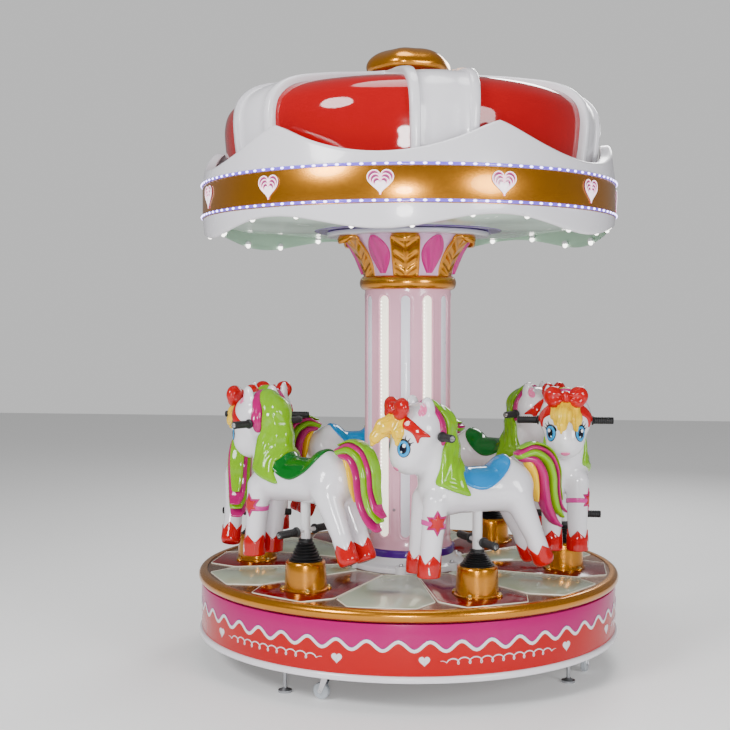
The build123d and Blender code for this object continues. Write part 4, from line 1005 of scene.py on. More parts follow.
class CAROUSEL_OT_pedestals(bpy.types.Operator):
    """Makes the gold pedestals with their bolts, and the pleated bellows on them"""

    bl_idname = "carousel.pedestals"
    bl_label = "Pedestals and Bellows"

    def execute(self, context):
        gold = gold_lacquer()
        foot = DECK_LEVEL
        profile = [
            (0.068, PEDESTAL_TOP - 0.003), (0.080, PEDESTAL_TOP - 0.001), (0.0855, PEDESTAL_TOP - 0.006),
            (0.0875, PEDESTAL_TOP - 0.014), (0.0893, foot + 0.085), (0.0925, foot + 0.03),
            (0.0935, foot + 0.012), (0.0965, foot + 0.0085), (0.0995, foot + 0.007), (0.1, foot + 0.004),
            (0.0995, foot + 0.0005),
            (0.064, foot + 0.0005), (0.062, PEDESTAL_TOP - 0.009),
        ]
        master = lathe("pedestal_master", profile, gold, segments=96)
        corners = [math.radians(45 + 90 * k) for k in range(4)]
        lugs = []
        for k, turn in enumerate(corners):
            centre = Vector((math.sin(turn), math.cos(turn), 0)) * LUG_REACH
            lugs.append(pile(f"lug_{k}", LUG_RINGS, 20, gold, upright(centre, foot)))
        master = join("pedestal_master", [master] + lugs)
        pieces = []
        bolts, turns = [], []
        for number in range(HORSES):
            spin = math.radians(FIRST_HORSE + HORSE_STEP * number)
            place = Matrix.Translation(horse_centre(number)) @ Matrix.Rotation(spin, 4, "Z")
            pieces.append(placed_copy(master, f"pedestal_{number}", place))
            for turn in corners:
                reach = PEDESTAL_FLANGE
                spot = Vector((math.sin(turn) * reach, math.cos(turn) * reach, foot + LUG_HEIGHT))
                bolts.append(place @ spot)
                turns.append((0, 0, spin))
        bpy.data.objects.remove(master)
        keep(join("pedestals", pieces), "turntable", ["horse_pedestals"])
        head = bolt_head("pedestal_bolt", sizes().bolt)
        steel = finish("bolt_steel", paint(196, 176, 120), rough=0.3, metal=0.9)
        keep(pieces_at("pedestal_bolts", head, bolts, turns, steel), "turntable")
        rubber = finish("bellows_rubber", paint(22, 22, 24), rough=0.46, grain=0.2, grain_scale=260, shade=0.2)
        for number in range(HORSES):
            self.bellows(number, rubber)
        return {"FINISHED"}

    def bellows(self, number, rubber):
        """A pleated cone that shortens as its horse sinks."""
        low = PEDESTAL_TOP - 0.001
        high = BELLOWS_TOP + horse_lift(number)
        pleats = sizes().pleats
        outer = [(BELLOWS_FOOT_RADIUS + 0.002, low), (BELLOWS_FOOT_RADIUS + 0.003, low + 0.004)]
        span = high - 0.014 - low - 0.006
        for k in range(pleats):
            for share, dent in ((0.0, 0.008), (0.22, 0.004), (0.5, -0.0005), (0.78, 0.004)):
                t = (k + share) / pleats
                radius = BELLOWS_FOOT_RADIUS + (BELLOWS_NECK_RADIUS - BELLOWS_FOOT_RADIUS) * t
                outer.append((radius - dent, low + 0.006 + span * t))
        outer += [
            (BELLOWS_NECK_RADIUS - 0.006, high - 0.012), (BELLOWS_NECK_RADIUS - 0.005, high - 0.009),
            (BELLOWS_NECK_RADIUS - 0.005, high - 0.002), (BELLOWS_NECK_RADIUS - 0.008, high),
        ]
        inner = [
            (POST_RADIUS + 0.0006, high), (POST_RADIUS + 0.0006, high - 0.008),
            (POST_RADIUS + 0.004, high - 0.02),
            (0.05, low + 0.01), (0.058, low),
        ]
        piece = lathe(f"bellows_{number + 1}", outer + inner, rubber, segments=64, smooth_angle=70)
        centre = horse_centre(number)
        piece.data.transform(Matrix.Translation(centre))
        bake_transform(piece)
        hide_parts("bellows")


# ------------------------------------------------------------------------------ column

PLINTH_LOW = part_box("column_plinth")[0].z
PLINTH_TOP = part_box("column_plinth")[1].z
PLINTH_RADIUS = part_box("column_plinth")[1].x
COLUMN_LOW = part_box("column_shell")[0].z
COLUMN_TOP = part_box("column_shell")[1].z
COLUMN_RADIUS = 0.205
COLUMN_WALL = 0.014
FLUTES = 12
FLUTE_STEP = 30
FLUTE_BEARING = 3.5
FLUTE_WIDTH = 0.050
FLUTE_LOW = COLUMN_LOW + 0.058
FLUTE_TOP = FLUTE_LOW + 1.135
FLUTE_DEPTH = 0.006
BEADS = 64
BEAD_ASIDE = 0.017
CAP_LEVEL = COLUMN_LOW + 0.19
PLINTH_NECK = 0.2265
PLINTH_LUG_RINGS = ((0.03, 0.001), (0.03, 0.032), (0.026, 0.036), (0.001, 0.037))


def flute_distance(across, level):
    """Signed distance into a round-ended flute; positive inside."""
    half = FLUTE_WIDTH / 2
    nearest = np.clip(level, FLUTE_LOW + half, FLUTE_TOP - half)
    return half - np.sqrt(across**2 + (level - nearest) ** 2)


class CAROUSEL_OT_column(bpy.types.Operator):
    """Makes the plinth, its purple ring, the fluted shell and the lit and unlit flutes"""

    bl_idname = "carousel.column"
    bl_label = "Column"

    def execute(self, context):
        self.plinth()
        self.shell()
        self.flutes()
        return {"FINISHED"}

    def plinth(self):
        white = white_gelcoat()
        low = PLINTH_LOW
        profile = rounded([
            (PLINTH_RADIUS, low), (PLINTH_RADIUS, low + 0.024), (PLINTH_RADIUS - 0.012, low + 0.030),
            (PLINTH_RADIUS - 0.032, low + 0.037), (0.232, low + 0.052), (PLINTH_NECK, low + 0.064),
            (PLINTH_NECK, low + 0.067), (0.196, low + 0.067), (0.196, low),
        ], 0.008, 5)
        lugs = []
        bolts, turns = [], []
        for k in range(HORSES):
            out = outward(HORSE_STEP * k)
            centre = out * (PLINTH_RADIUS - 0.018)
            lugs.append(pile(f"plinth_lug_{k}", PLINTH_LUG_RINGS, 24, white, upright(centre, low)))
            bolts.append(out * (PLINTH_RADIUS - 0.016) + Vector((0, 0, low + 0.0368)))
            turns.append((0, 0, math.radians(HORSE_STEP * k)))
        plinth = join("plinth", [lathe("plinth_turned", profile, white)] + lugs)
        keep(plinth, "turntable", ["column_plinth"])
        zinc = finish("bolt_zinc", paint(186, 186, 190), rough=0.3, metal=0.9)
        head = bolt_head("plinth_bolt", 0.009)
        keep(pieces_at("plinth_bolts", head, bolts, turns, zinc), "turntable")
        ring = rounded([
            (0.2262, low + 0.066), (0.2275, low + 0.070), (0.2275, PLINTH_TOP - 0.001),
            (0.2235, PLINTH_TOP + 0.002), (0.19, PLINTH_TOP + 0.002), (0.19, low + 0.066),
        ], 0.003, 3)
        keep(lathe("purple_ring", ring, purple_paint()), "turntable", ["column_plinth"])

    def shell(self):
        """The pink shell: a grid of points that is close at each flute's rim, where the shell is pressed in."""
        pink = finish(
            "column_pink", colours().pink, rough=0.2, coat=0.5, grain=0.05, grain_scale=12, shade=0.05
        )
        span = TAU / FLUTES
        half_share = FLUTE_WIDTH / 2 / COLUMN_RADIUS / span
        past_rim = np.linspace(-0.006, 0.022, 7) / COLUMN_RADIUS / span
        marks = sorted(set(np.round(np.concatenate([
            np.linspace(-half_share * 0.9, half_share * 0.9, 10), half_share + past_rim, -half_share - past_rim,
            np.linspace(half_share + 0.12, 1 - half_share - 0.12, 7),
        ]), 5)))
        turns = np.concatenate([(np.array(marks) + k) * span for k in range(FLUTES)])
        turns += math.radians(FLUTE_BEARING)
        levels = np.concatenate([
            np.linspace(COLUMN_LOW + 0.001, FLUTE_LOW - 0.008, 12),
            np.linspace(FLUTE_LOW - 0.006, FLUTE_LOW + 0.034, 22),
            np.linspace(FLUTE_LOW + 0.06, FLUTE_TOP - 0.06, 14),
            np.linspace(FLUTE_TOP - 0.034, FLUTE_TOP + 0.006, 22),
            np.linspace(FLUTE_TOP + 0.012, COLUMN_TOP, 4),
        ])
        turn, level = np.meshgrid(turns, levels, indexing="ij")
        across = ((turn - math.radians(FLUTE_BEARING) + span / 2) % span - span / 2) * COLUMN_RADIUS
        inside = flute_distance(across, level)
        base = COLUMN_RADIUS + 0.010 * np.clip(1 - (level - COLUMN_LOW) / 0.055, 0, 1) ** 2
        lip = 0.0022 * np.exp(-(((inside + 0.006) / 0.004) ** 2))
        sunk = FLUTE_DEPTH * np.clip(inside / 0.0025, 0, 1)
        radius = base + lip - sunk
        outer = np.stack([radius * np.sin(turn), -radius * np.cos(turn), level], -1)
        bore = COLUMN_RADIUS - COLUMN_WALL
        ends = [np.stack([bore * np.sin(turns), -bore * np.cos(turns), np.full(len(turns), end)], -1)[:, None]
                for end in (levels[-1], levels[0])]
        grid = np.concatenate([outer, *ends], 1)
        shell = solid("column_shell_fluted", grid.reshape(-1, 3), loop_faces(*grid.shape[:2]), pink, 32)
        keep(shell, "turntable", ["column_shell"])
        caps, turned = [], []
        for k in range(FLUTES):
            bearing = FLUTE_BEARING + FLUTE_STEP * (k + 0.5)
            caps.append(outward(bearing) * (COLUMN_RADIUS + 0.0003) + Vector((0, 0, CAP_LEVEL)))
            turned.append((0, 0, math.radians(bearing)))
        grey = finish("cap_grey", paint(150, 132, 140), rough=0.4)
        cap = stud("column_cap", 0.0075, 0.0024, 20)
        keep(pieces_at("column_caps", cap, caps, turned, grey), "turntable")

    def flutes(self):
        lit = lamp_glow("flute_lit", colours().flute_light, 1.35)
        unlit = finish("flute_unlit", colours().lavender, rough=0.3, coat=0.3, shade=0.03)
        bead = lamp_glow("flute_bead", (1.0, 0.97, 0.88), 5.0)
        groups = {"unlit": [], "lit": []}
        half = FLUTE_WIDTH / 2 - 0.0035
        straight = (FLUTE_TOP - FLUTE_LOW) / 2 - FLUTE_WIDTH / 2
        outline = []
        for side, first in ((1, 0.0), (-1, math.pi)):
            for a in np.linspace(0, math.pi, 17):
                outline.append((half * math.cos(first + a), side * straight + half * math.sin(first + a)))
        floor = COLUMN_RADIUS - FLUTE_DEPTH
        places, turns = [], []
        for k in range(FLUTES):
            bearing = FLUTE_BEARING + FLUTE_STEP * k
            place = on_drum(floor + 0.0003, bearing, (FLUTE_LOW + FLUTE_TOP) / 2)
            kind, material = ("lit", lit) if k % 2 else ("unlit", unlit)
            groups[kind].append(plate(f"flute_{k}", outline, 0.003, material, place, 0.0012))
            if kind == "unlit":
                continue
            shifted = bearing - math.degrees(BEAD_ASIDE / COLUMN_RADIUS)
            for step in range(BEADS):
                level = FLUTE_LOW + 0.03 + step * (FLUTE_TOP - FLUTE_LOW - 0.06) / (BEADS - 1)
                places.append(outward(shifted) * (floor + 0.003) + Vector((0, 0, level)))
                turns.append((0, 0, math.radians(shifted)))
        for kind, group in groups.items():
            keep(join("flutes_" + kind, group), "turntable", ["column_lights"])
        beads = pieces_at("flute_beads", stud("bead", 0.0032, 0.0022, 8), places, turns, bead)
        keep(beads, "turntable")


# ----------------------------------------------------------------------------- capital

CAPITAL_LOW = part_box("capital_bell")[0].z
CAPITAL_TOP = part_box("capital_bell")[1].z
LEAVES = 6
LEAF_STEP = 60
LEAF_BEARING = 4
LEAF_FOOT = CAPITAL_LOW + 0.062
LEAF_ROLL = 0.025
ROLL_ROWS = 14
ROLL_TURN = 3.7
RING_HALF = 0.0325


def bell_radius(level):
    """The bell's outside radius at a level."""
    share = np.clip((level - CAPITAL_LOW) / (CAPITAL_TOP - CAPITAL_LOW), 0, 1)
    return 0.207 + 0.095 * share**2.2


class CAROUSEL_OT_capital(bpy.types.Operator):
    """Makes the capital's ring, bell, curled leaves, painted buds and discs"""

    bl_idname = "carousel.capital"
    bl_label = "Capital"

    def execute(self, context):
        gold = gold_lacquer()
        middle = CAPITAL_LOW + RING_HALF
        ring = [(0.207 + 0.024 * math.cos(a), middle + RING_HALF * math.sin(a))
                for a in np.linspace(-math.pi / 2, math.pi / 2, 16)]
        ring = [(0.196, CAPITAL_LOW)] + ring + [(0.196, middle + RING_HALF)]
        keep(lathe("capital_ring", ring, gold), "turntable", ["capital_bell"])
        bell = finish(
            "capital_bell_paint", paint(222, 178, 214), rough=0.25, coat=0.4, grain=0.06, grain_scale=15
        )
        levels = np.linspace(CAPITAL_LOW + 0.062, CAPITAL_TOP, 24)
        outline = [(float(bell_radius(z)), float(z)) for z in levels]
        outline += [(float(bell_radius(z)) - 0.01, float(z)) for z in levels[::-1]]
        keep(lathe("capital_bell_turned", outline, bell), "turntable", ["capital_bell"])
        leaves = [self.leaf(k, gold) for k in range(LEAVES)]
        buds = [self.bud(k) for k in range(LEAVES)]
        keep(join("capital_leaves_carved", leaves), "turntable", ["capital_leaves"])
        keep(join("capital_buds", buds), "turntable")
        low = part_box("capital_discs")[0].z
        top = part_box("capital_discs")[1].z
        disc = finish(
            "abacus_paint", paint(206, 204, 214), rough=0.2, coat=0.5, grain=0.04, grain_scale=12, shade=0.04
        )
        seam = CANOPY_LEVEL
        outline = rounded([
            (0.385, low + 0.004), (0.387, low + 0.012), (0.387, seam - 0.004), (0.38, seam), (0.1, seam),
            (0.1, low), (0.372, low),
        ], 0.006, 4)
        keep(lathe("abacus_disc", outline, disc), "turntable", ["capital_discs"])
        outline = rounded([
            (0.447, seam + 0.001), (0.447, top - 0.001), (0.1, top - 0.001), (0.1, seam + 0.001),
        ], 0.007, 4)
        keep(lathe("canopy_disc", outline, purple_paint()), "turntable", ["capital_discs"])
        return {"FINISHED"}

    def leaf(self, number, gold):
        """A tongue-shaped leaf with a raised edge, a midrib and curled fronds; its tip rolls outwards."""
        rows, columns = 56, 35
        straight = rows - 1 - ROLL_ROWS
        front, back = [], []
        bearing = math.radians(LEAF_BEARING + LEAF_STEP * number)
        for i in range(rows):
            t = min(1.0, i / straight)
            rolled = max(0.0, (i - straight) / ROLL_ROWS)
            turned = rolled * ROLL_TURN
            half = (0.064 + 0.008 * t) * math.sqrt(1 - 0.8 * rolled**1.2)
            level = LEAF_FOOT + 0.166 * t
            reach = float(bell_radius(level)) + 0.007 + 0.016 * t**2
            out, up = math.cos(turned), math.sin(turned)
            for j in range(columns):
                s = -1 + 2 * j / (columns - 1)
                border = 0.0035 * math.exp(-(((abs(s) - 0.9) / 0.07) ** 2))
                rib = 0.0055 * math.exp(-((s / 0.09) ** 2))
                plain = max(0.0, 1 - turned / 1.2)
                frond = math.cos(TAU * (3.1 * t - 0.15 - 0.9 * abs(s) ** 0.8))
                veins = 0.0052 * max(-0.35, frond) * min(1, 7 * abs(s)) * min(1, 9 * max(0.0, 0.84 - abs(s)))
                droop = 0.009 * s * s * (1 - 0.5 * t)
                turn = bearing + half * s / reach
                curl = LEAF_ROLL * (1 - 0.55 * s * s)
                for shell, depth in ((front, border + rib + veins * plain - droop), (back, -0.0075 - droop)):
                    radius = reach + curl * (1 - out) + depth * out
                    shell.append(around(radius, turn, level + curl * up - depth * up))
        return solid(f"leaf_{number}", front + back, sheet_faces(rows, columns), gold, 60)

    def bud(self, number):
        """A painted bud in relief between two leaves."""
        magenta = gloss("bud_magenta", paint(198, 26, 130))
        bearing = math.radians(LEAF_BEARING + LEAF_STEP * (number + 0.5))
        rows, columns = 30, 21
        front, back = [], []
        for i in range(rows):
            t = i / (rows - 1)
            level = LEAF_FOOT + 0.012 + 0.172 * t
            half = 0.012 + 0.050 * math.sin(math.pi * min(1, t * 0.98 + 0.02)) ** 0.8 * (0.5 + 0.7 * t)
            base = float(bell_radius(level))
            for j in range(columns):
                s = -1 + 2 * j / (columns - 1)
                swell = 0.016 * math.sqrt(max(0.0, 1 - s * s)) * math.sin(math.pi * (0.08 + 0.84 * t)) ** 0.6
                fold = 0.0035 * math.cos(TAU * (1.3 * s + 0.8 * t)) * (1 - s * s)
                turn = bearing + half * s / base
                front.append(around(base + 0.001 + swell + fold * (swell > 0), turn, level))
                back.append(around(base - 0.003, turn, level))
        return solid(f"bud_{number}", front + back, sheet_faces(rows, columns), magenta, 60)


# ------------------------------------------------------------------------------ canopy

BAND_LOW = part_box("gold_band")[0].z
BAND_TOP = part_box("gold_band")[1].z
BAND_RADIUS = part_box("gold_band")[1].x
FASCIA_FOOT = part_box("canopy_fascia")[0].z
FASCIA_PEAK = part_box("canopy_fascia")[1].z
FASCIA_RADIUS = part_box("canopy_fascia")[1].x
FASCIA_SEAT = FASCIA_RADIUS + 0.0003
VALLEY_LEVEL = CANOPY_LEVEL + 0.261
FOOT_SWING = 0.031
PEAK_SOFTNESS = 0.022
FASCIA_WALL = 0.0055
FASCIA_SEGMENTS = 480
CREST_TURN = math.radians(30)
CANOPY_HEARTS = 12
BULBS = 24


def wave_share(turn):
    """One at the fascia's six crests, minus one between them."""
    return np.cos(6 * (turn - CREST_TURN))


def fascia_foot(turn):
    """The level of the fascia's waved lower edge."""
    return FASCIA_FOOT + FOOT_SWING + FOOT_SWING * wave_share(turn)


def fascia_top(turn):
    """The level of the fascia's upper edge: wide round valleys between six narrow, rounded peaks."""
    off = np.abs((turn + TAU / 12) % (TAU / 6) - TAU / 12)
    side = 0.945 * np.sin(off)
    rise = FASCIA_PEAK + 0.016 - VALLEY_LEVEL
    half = 0.945 * math.sin(TAU / 12) + 0.012
    radius = (half**2 + rise**2) / (2 * rise)
    level = VALLEY_LEVEL + radius - np.sqrt(np.maximum(radius**2 - side**2, 0))
    below = np.clip((FASCIA_PEAK - level) / PEAK_SOFTNESS, -30, 30)
    return FASCIA_PEAK - PEAK_SOFTNESS * np.log1p(np.exp(below))


def fascia_radius(level):
    """The fascia's outside radius at a level: upright at the band, leaning in above and below it."""
    above = np.clip((level - BAND_TOP) / (FASCIA_PEAK - BAND_TOP), 0, 1)
    below = np.clip((BAND_LOW - level) / (BAND_LOW - FASCIA_FOOT), 0, 1)
    return FASCIA_RADIUS - 0.0265 * above**1.3 - 0.010 * below**2


class CAROUSEL_OT_canopy(bpy.types.Operator):
    """Makes the waved fascia, gold band, lamp strips, hearts, bulbs and ceiling"""

    bl_idname = "carousel.canopy"
    bl_label = "Canopy"

    def execute(self, context):
        self.fascia()
        self.lamps()
        self.hearts()
        self.bulbs()
        self.ceiling()
        return {"FINISHED"}

    def ceiling(self):
        """A shallow dish with six soft ripples."""
        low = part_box("canopy_ceiling")[0].z
        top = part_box("canopy_ceiling")[1].z
        outline = [
            (0.4475, low + 0.002), (0.62, low + 0.004), (0.80, low + 0.014), (0.90, top - 0.014),
            (0.9595, top - 0.004), (0.9595, top), (0.90, top - 0.008), (0.80, low + 0.020), (0.62, low + 0.009),
            (0.4475, low + 0.006),
        ]

        def rippled(radius, level, turn):
            swell = np.clip((radius - 0.45) / 0.2, 0, 1) * np.clip((0.96 - radius) / 0.15, 0, 1)
            return radius, level - 0.006 * swell * wave_share(turn)

        dish = lathe("ceiling_dish", outline, canopy_lining(), segments=240, warp=rippled)
        keep(dish, "turntable", ["canopy_ceiling"])

    def fascia(self):
        """The white shell with both edges waved, and its band; its inner face has the lining's colour."""
        turns = np.arange(FASCIA_SEGMENTS) * TAU / FASCIA_SEGMENTS
        foot = fascia_foot(turns)
        top = fascia_top(turns)
        rows = []
        for t in (0.0, 0.2, 0.5, 0.8, 1.0):
            a = -math.pi / 2 * (1 - t)
            rows.append((-0.012 + 0.012 * math.cos(a), foot, 0.012 + 0.012 * math.sin(a)))
        for share in np.linspace(0.08, 0.92, 13):
            rows.append((0.0, foot + (top - foot) * share, 0.0))
        for a in np.linspace(0, math.pi / 2, 7):
            rows.append((-0.014 + 0.014 * math.cos(a), top, -0.014 + 0.014 * math.sin(a)))
        for shift, drop in ((-0.045, -0.003), (-0.049, -0.007), (-0.045, -0.0095), (-0.016, -0.0085)):
            rows.append((shift, top, drop))
        for share in np.linspace(0.9, 0.1, 9):
            rows.append((-FASCIA_WALL, foot + (top - foot) * share, 0.0))
        rows.append((-FASCIA_WALL - 0.002, foot, 0.02))
        rows.append((-0.012, foot, 0.004))
        points = []
        for shift, level, extra in rows:
            z = level + extra
            radius = fascia_radius(z) + shift
            points.append(np.stack([radius * np.sin(turns), -radius * np.cos(turns), z], -1))
        grid = np.stack(points, 1)
        piece = solid("fascia_waved", grid.reshape(-1, 3), loop_faces(*grid.shape[:2]), white_gelcoat(), 40)
        piece.data.materials.append(canopy_lining())
        for face in piece.data.polygons:
            centre, normal = face.center, face.normal
            if centre.x * normal.x + centre.y * normal.y < -0.3 and centre.z < BAND_LOW:
                face.material_index = 1
        keep(piece, "turntable", ["canopy_fascia"])
        levels = (BAND_LOW, BAND_TOP)
        band = self.hoop("gold_band_ring", levels, FASCIA_SEAT, BAND_RADIUS, gold_lacquer(), 0.0008, 2)
        keep(band, "turntable", ["gold_band"])

    def hoop(self, name, levels, inner, outer, material, corner, steps):
        """A flat hoop round the fascia."""
        low, top = levels
        outline = rounded([(inner, low), (outer, low), (outer, top), (inner, top)], corner, steps)
        return lathe(name, outline, material, segments=288)

    def lamps(self):
        glow = lamp_glow("strip_lamp", colours().lamp, 7.0)
        strip_violet = finish(
            "strip_base", paint(112, 84, 226), rough=0.25, coat=0.4, glow=0.5, glow_colour=(0.22, 0.12, 0.95)
        )
        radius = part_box("canopy_lights")[1].x - 0.0045
        for name, level in (("low_strip", BAND_LOW - 0.007), ("high_strip", BAND_TOP + 0.007)):
            strip = self.hoop(name, (level - 0.006, level + 0.006), FASCIA_SEAT, radius, strip_violet, 0.003, 3)
            keep(strip, "turntable", ["canopy_lights"])
            lamp, count = self.lamp_piece(), sizes().strip_lamps
            lamps = ring_of(name + "_lamps", lamp, count, radius - 0.0005, level, 1.5, glow)
            keep(lamps, "turntable")
        for name, level, material in (
            ("low_line", BAND_LOW - 0.0152, gold_lacquer()), ("high_line", BAND_TOP + 0.0152, white_gelcoat()),
        ):
            levels = (level - 0.0018, level + 0.0018)
            line = self.hoop(name, levels, FASCIA_RADIUS - 0.001, FASCIA_RADIUS + 0.0028, material, 0.001, 2)
            keep(line, "turntable")

    def lamp_piece(self):
        """One lamp: a small rounded lozenge that faces -Y."""
        rows = (
            (0.0085, 0.0048, 0.0), (0.0085, 0.0048, 0.0022), (0.0066, 0.0032, 0.004), (0.002, 0.001, 0.0048),
        )
        return pile("lamp_piece", rows, 10, white_gelcoat(), lambda half_x, half_z, lift, a: (
            half_x * math.cos(a), -lift, half_z * math.sin(a)), 50)

    def hearts(self):
        """Twelve hearts on the band, each a plum plate with white and rose lines."""
        width = sizes().heart
        level = (BAND_LOW + BAND_TOP) / 2

        def flat(x, y, height):
            return (x, -height, y)

        back = plate("heart_back", heart_outline(width), 0.0028, white_gelcoat(), flat, 0.001)
        plum = finish(
            "heart_plum", paint(150, 60, 110), rough=0.2, coat=0.6, glow=0.12, glow_colour=(0.8, 0.2, 0.7)
        )
        radius = BAND_RADIUS + 0.0003
        plates = ring_of("heart_plates", back, CANOPY_HEARTS, radius, level, 0, plum)
        keep(plates, "turntable", ["canopy_lights"])
        lines, edges = [], []
        for number, share in enumerate((1.0, 0.80, 0.60, 0.40)):
            outline = heart_outline(width * share, 56)
            outline[:, 1] -= (1 - share) * width * 0.22
            if share > 0.5:
                lines.append(band_plate(f"heart_line_{number}", outline, 0.0034, 0.0022, white_gelcoat(), flat))
                outline = inset(outline, 0.0038)
                edges.append(band_plate(f"heart_edge_{number}", outline, 0.0022, 0.0012, white_gelcoat(), flat))
            else:
                lines.append(plate("heart_core", outline, 0.0022, white_gelcoat(), flat))
        glow = lamp_glow("heart_glow", (1.0, 0.86, 0.95), 1.2)
        rose = lamp_glow("heart_rose", (0.95, 0.18, 0.42), 0.8)
        for name, group, lamp in (("heart_lines", lines, glow), ("heart_edges", edges, rose)):
            piece = join(name + "_piece", group)
            keep(ring_of(name, piece, CANOPY_HEARTS, radius + 0.0028, level, 0, lamp), "turntable")

    def bulbs(self):
        radius = sizes().bulb
        places, turns = [], []
        for k in range(BULBS):
            turn = TAU / BULBS * (k + 0.5)
            level = float(fascia_foot(turn)) + 0.007
            places.append(around(float(fascia_radius(level)) - 0.0065 - radius, turn, level))
            turns.append((0, 0, turn))
        ball = bmesh.new()
        bmesh.ops.create_uvsphere(ball, u_segments=20, v_segments=12, radius=radius)
        for vertex in ball.verts:
            vertex.co.z *= 1.12 if vertex.co.z < 0 else 0.9
        mesh = bpy.data.meshes.new("bulb")
        ball.to_mesh(mesh)
        ball.free()
        glow = lamp_glow("bulb_glow", (1.0, 0.96, 0.9), 5.0)
        bulbs = pieces_at("bulbs", link_mesh("bulb", mesh), places, turns, glow)
        keep(bulbs, "turntable", ["canopy_lights"])
        rows = ((0.010, 0.006), (0.0165, 0.007), (0.0175, 0.012), (0.0125, 0.022), (0.006, 0.026))
        socket = pile("socket", rows, 16, white_gelcoat(), upright(Vector((0, 0, 0)), 0))
        keep(pieces_at("bulb_sockets", socket, places, turns, white_gelcoat()), "turntable")


# ------------------------------------------------------------------------------- crown

DOME_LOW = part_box("crown_dome")[0].z
DOME_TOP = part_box("crown_dome")[1].z
DOME_RADIUS = 0.868
CROWN_MIDDLE = CANOPY_LEVEL + 0.465
RIBS = 6
RIB_STEP = 60
RIB_BEARING = 16.5
FINIAL_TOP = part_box("finial")[1].z


def crown_line():
    """The crown's outline from its foot to the finial, closely spaced."""
    wide, middle = DOME_RADIUS, CROWN_MIDDLE
    return smooth_line([
        (wide - 0.018, DOME_LOW), (wide - 0.016, middle - 0.190), (wide - 0.004, middle - 0.090),
        (wide, middle + 0.010), (wide - 0.026, middle + 0.080), (wide * 0.873, middle + 0.135),
        (wide * 0.666, middle + 0.172), (wide * 0.447, middle + 0.200), (wide * 0.274, middle + 0.240),
        (0.14, DOME_TOP),
    ], per_span=10)


def line_normals(line):
    """The unit normal to the right of a line in a plane."""
    run = np.gradient(line, axis=0)
    run /= np.linalg.norm(run, axis=1, keepdims=True)
    return np.stack([run[:, 1], -run[:, 0]], 1)


class CAROUSEL_OT_crown(bpy.types.Operator):
    """Makes the red dome, its raised white straps and the gold finial"""

    bl_idname = "carousel.crown"
    bl_label = "Crown"

    def execute(self, context):
        red = finish(
            "crown_red", colours().crown, rough=0.07, coat=0.4, shine=0.3, grain=0.03, grain_scale=6, shade=0.05
        )
        line = crown_line()
        normal = line_normals(line)
        outline = np.concatenate([line, (line - normal * 0.005)[::-1]])
        dome = lathe("crown_dome_shell", outline, red, segments=240)
        keep(dome, "turntable", ["crown_dome"])
        straps = [self.strap(k, line, normal) for k in range(RIBS)]
        keep(join("crown_straps", straps), "turntable", ["crown_ribs"])
        self.finial()
        return {"FINISHED"}

    def strap(self, number, line, normal):
        """A white strap over the crown with raised, rounded borders."""
        first = int(np.argmin(np.abs(line[:, 1] - (BAND_TOP + 0.03)) + (line[:, 0] < 0.8)))
        last = int(np.argmin(np.abs(line[:, 0] - 0.20)))
        line, normal = line[first:last + 1], normal[first:last + 1]
        count = len(line)
        rising = [(-1.0, 0.002), (-1.0, 0.55), (-0.985, 0.86), (-0.95, 1.0), (-0.80, 1.02), (-0.745, 0.96),
                  (-0.725, 0.56), (-0.70, 0.46), (-0.35, 0.56)]
        section = rising + [(0.0, 0.59)] + [(-across, lift) for across, lift in reversed(rising)]
        section += [(0.6, 0.0), (0.0, 0.0), (-0.6, 0.0)]
        bearing = math.radians(RIB_BEARING + RIB_STEP * number)
        out = np.array([math.sin(bearing), -math.cos(bearing)])
        side = np.array([math.cos(bearing), math.sin(bearing)])
        points = []
        for index in range(count):
            t = index / (count - 1)
            half = 0.140 + 0.022 * t
            proud = 0.032 * min(1.0, 0.55 + 2.5 * min(t, 1 - t) + 0.45 * (t < 0.5))
            for across, lift in section:
                radius, level = line[index] + normal[index] * (0.0006 + proud * lift)
                off = half * across
                x, y = out * math.sqrt(max(radius**2 - off**2, 1e-6)) + side * off
                points.append((x, y, level))
        return solid(f"strap_{number}", points, plate_faces(len(section), count), white_gelcoat(), 50)

    def finial(self):
        """The gold knob, with six soft lobes."""
        top = FINIAL_TOP
        low = DOME_TOP
        profile = [
            (0.0, top), (0.05, top - 0.001), (0.10, top - 0.006), (0.145, top - 0.020), (0.178, top - 0.040),
            (0.198, top - 0.062), (0.2045, top - 0.084), (0.199, top - 0.103), (0.182, low + 0.012),
            (0.155, low + 0.002), (0.12, low + 0.001), (0.0, low + 0.001),
        ]
        profile = [tuple(p) for p in smooth_line(profile, per_span=5)]
        profile = [(max(0.0, r), min(top, max(low + 0.001, z))) for r, z in profile]

        def lobes(radius, level, turn):
            bulge = 0.018 * np.cos(6 * turn + 0.6) + 0.006 * np.cos(3 * turn)
            share = np.clip(radius / 0.2, 0, 1) ** 2
            lift = np.clip((level - low) / (top - low), 0, 1)
            dent = 0.010 * share * lift * (0.5 - 0.5 * np.cos(6 * turn + 0.6))
            return radius * (1 + (bulge - 0.02) * share * 1.2), level - dent

        keep(lathe("finial_knob", profile, gold_lacquer(), segments=192, warp=lobes, smooth_angle=60),
             "turntable", ["finial"])


# ------------------------------------------------------------------------------ horses

# A horse is made once in its own frame: u ahead, v outwards, w up from the deck.


def soft_min(first, second, blend):
    share = np.clip(0.5 + 0.5 * (second - first) / blend, 0, 1)
    return second * (1 - share) + first * share - blend * share * (1 - share)


def soft_max(first, second, blend):
    return -soft_min(-first, -second, blend)


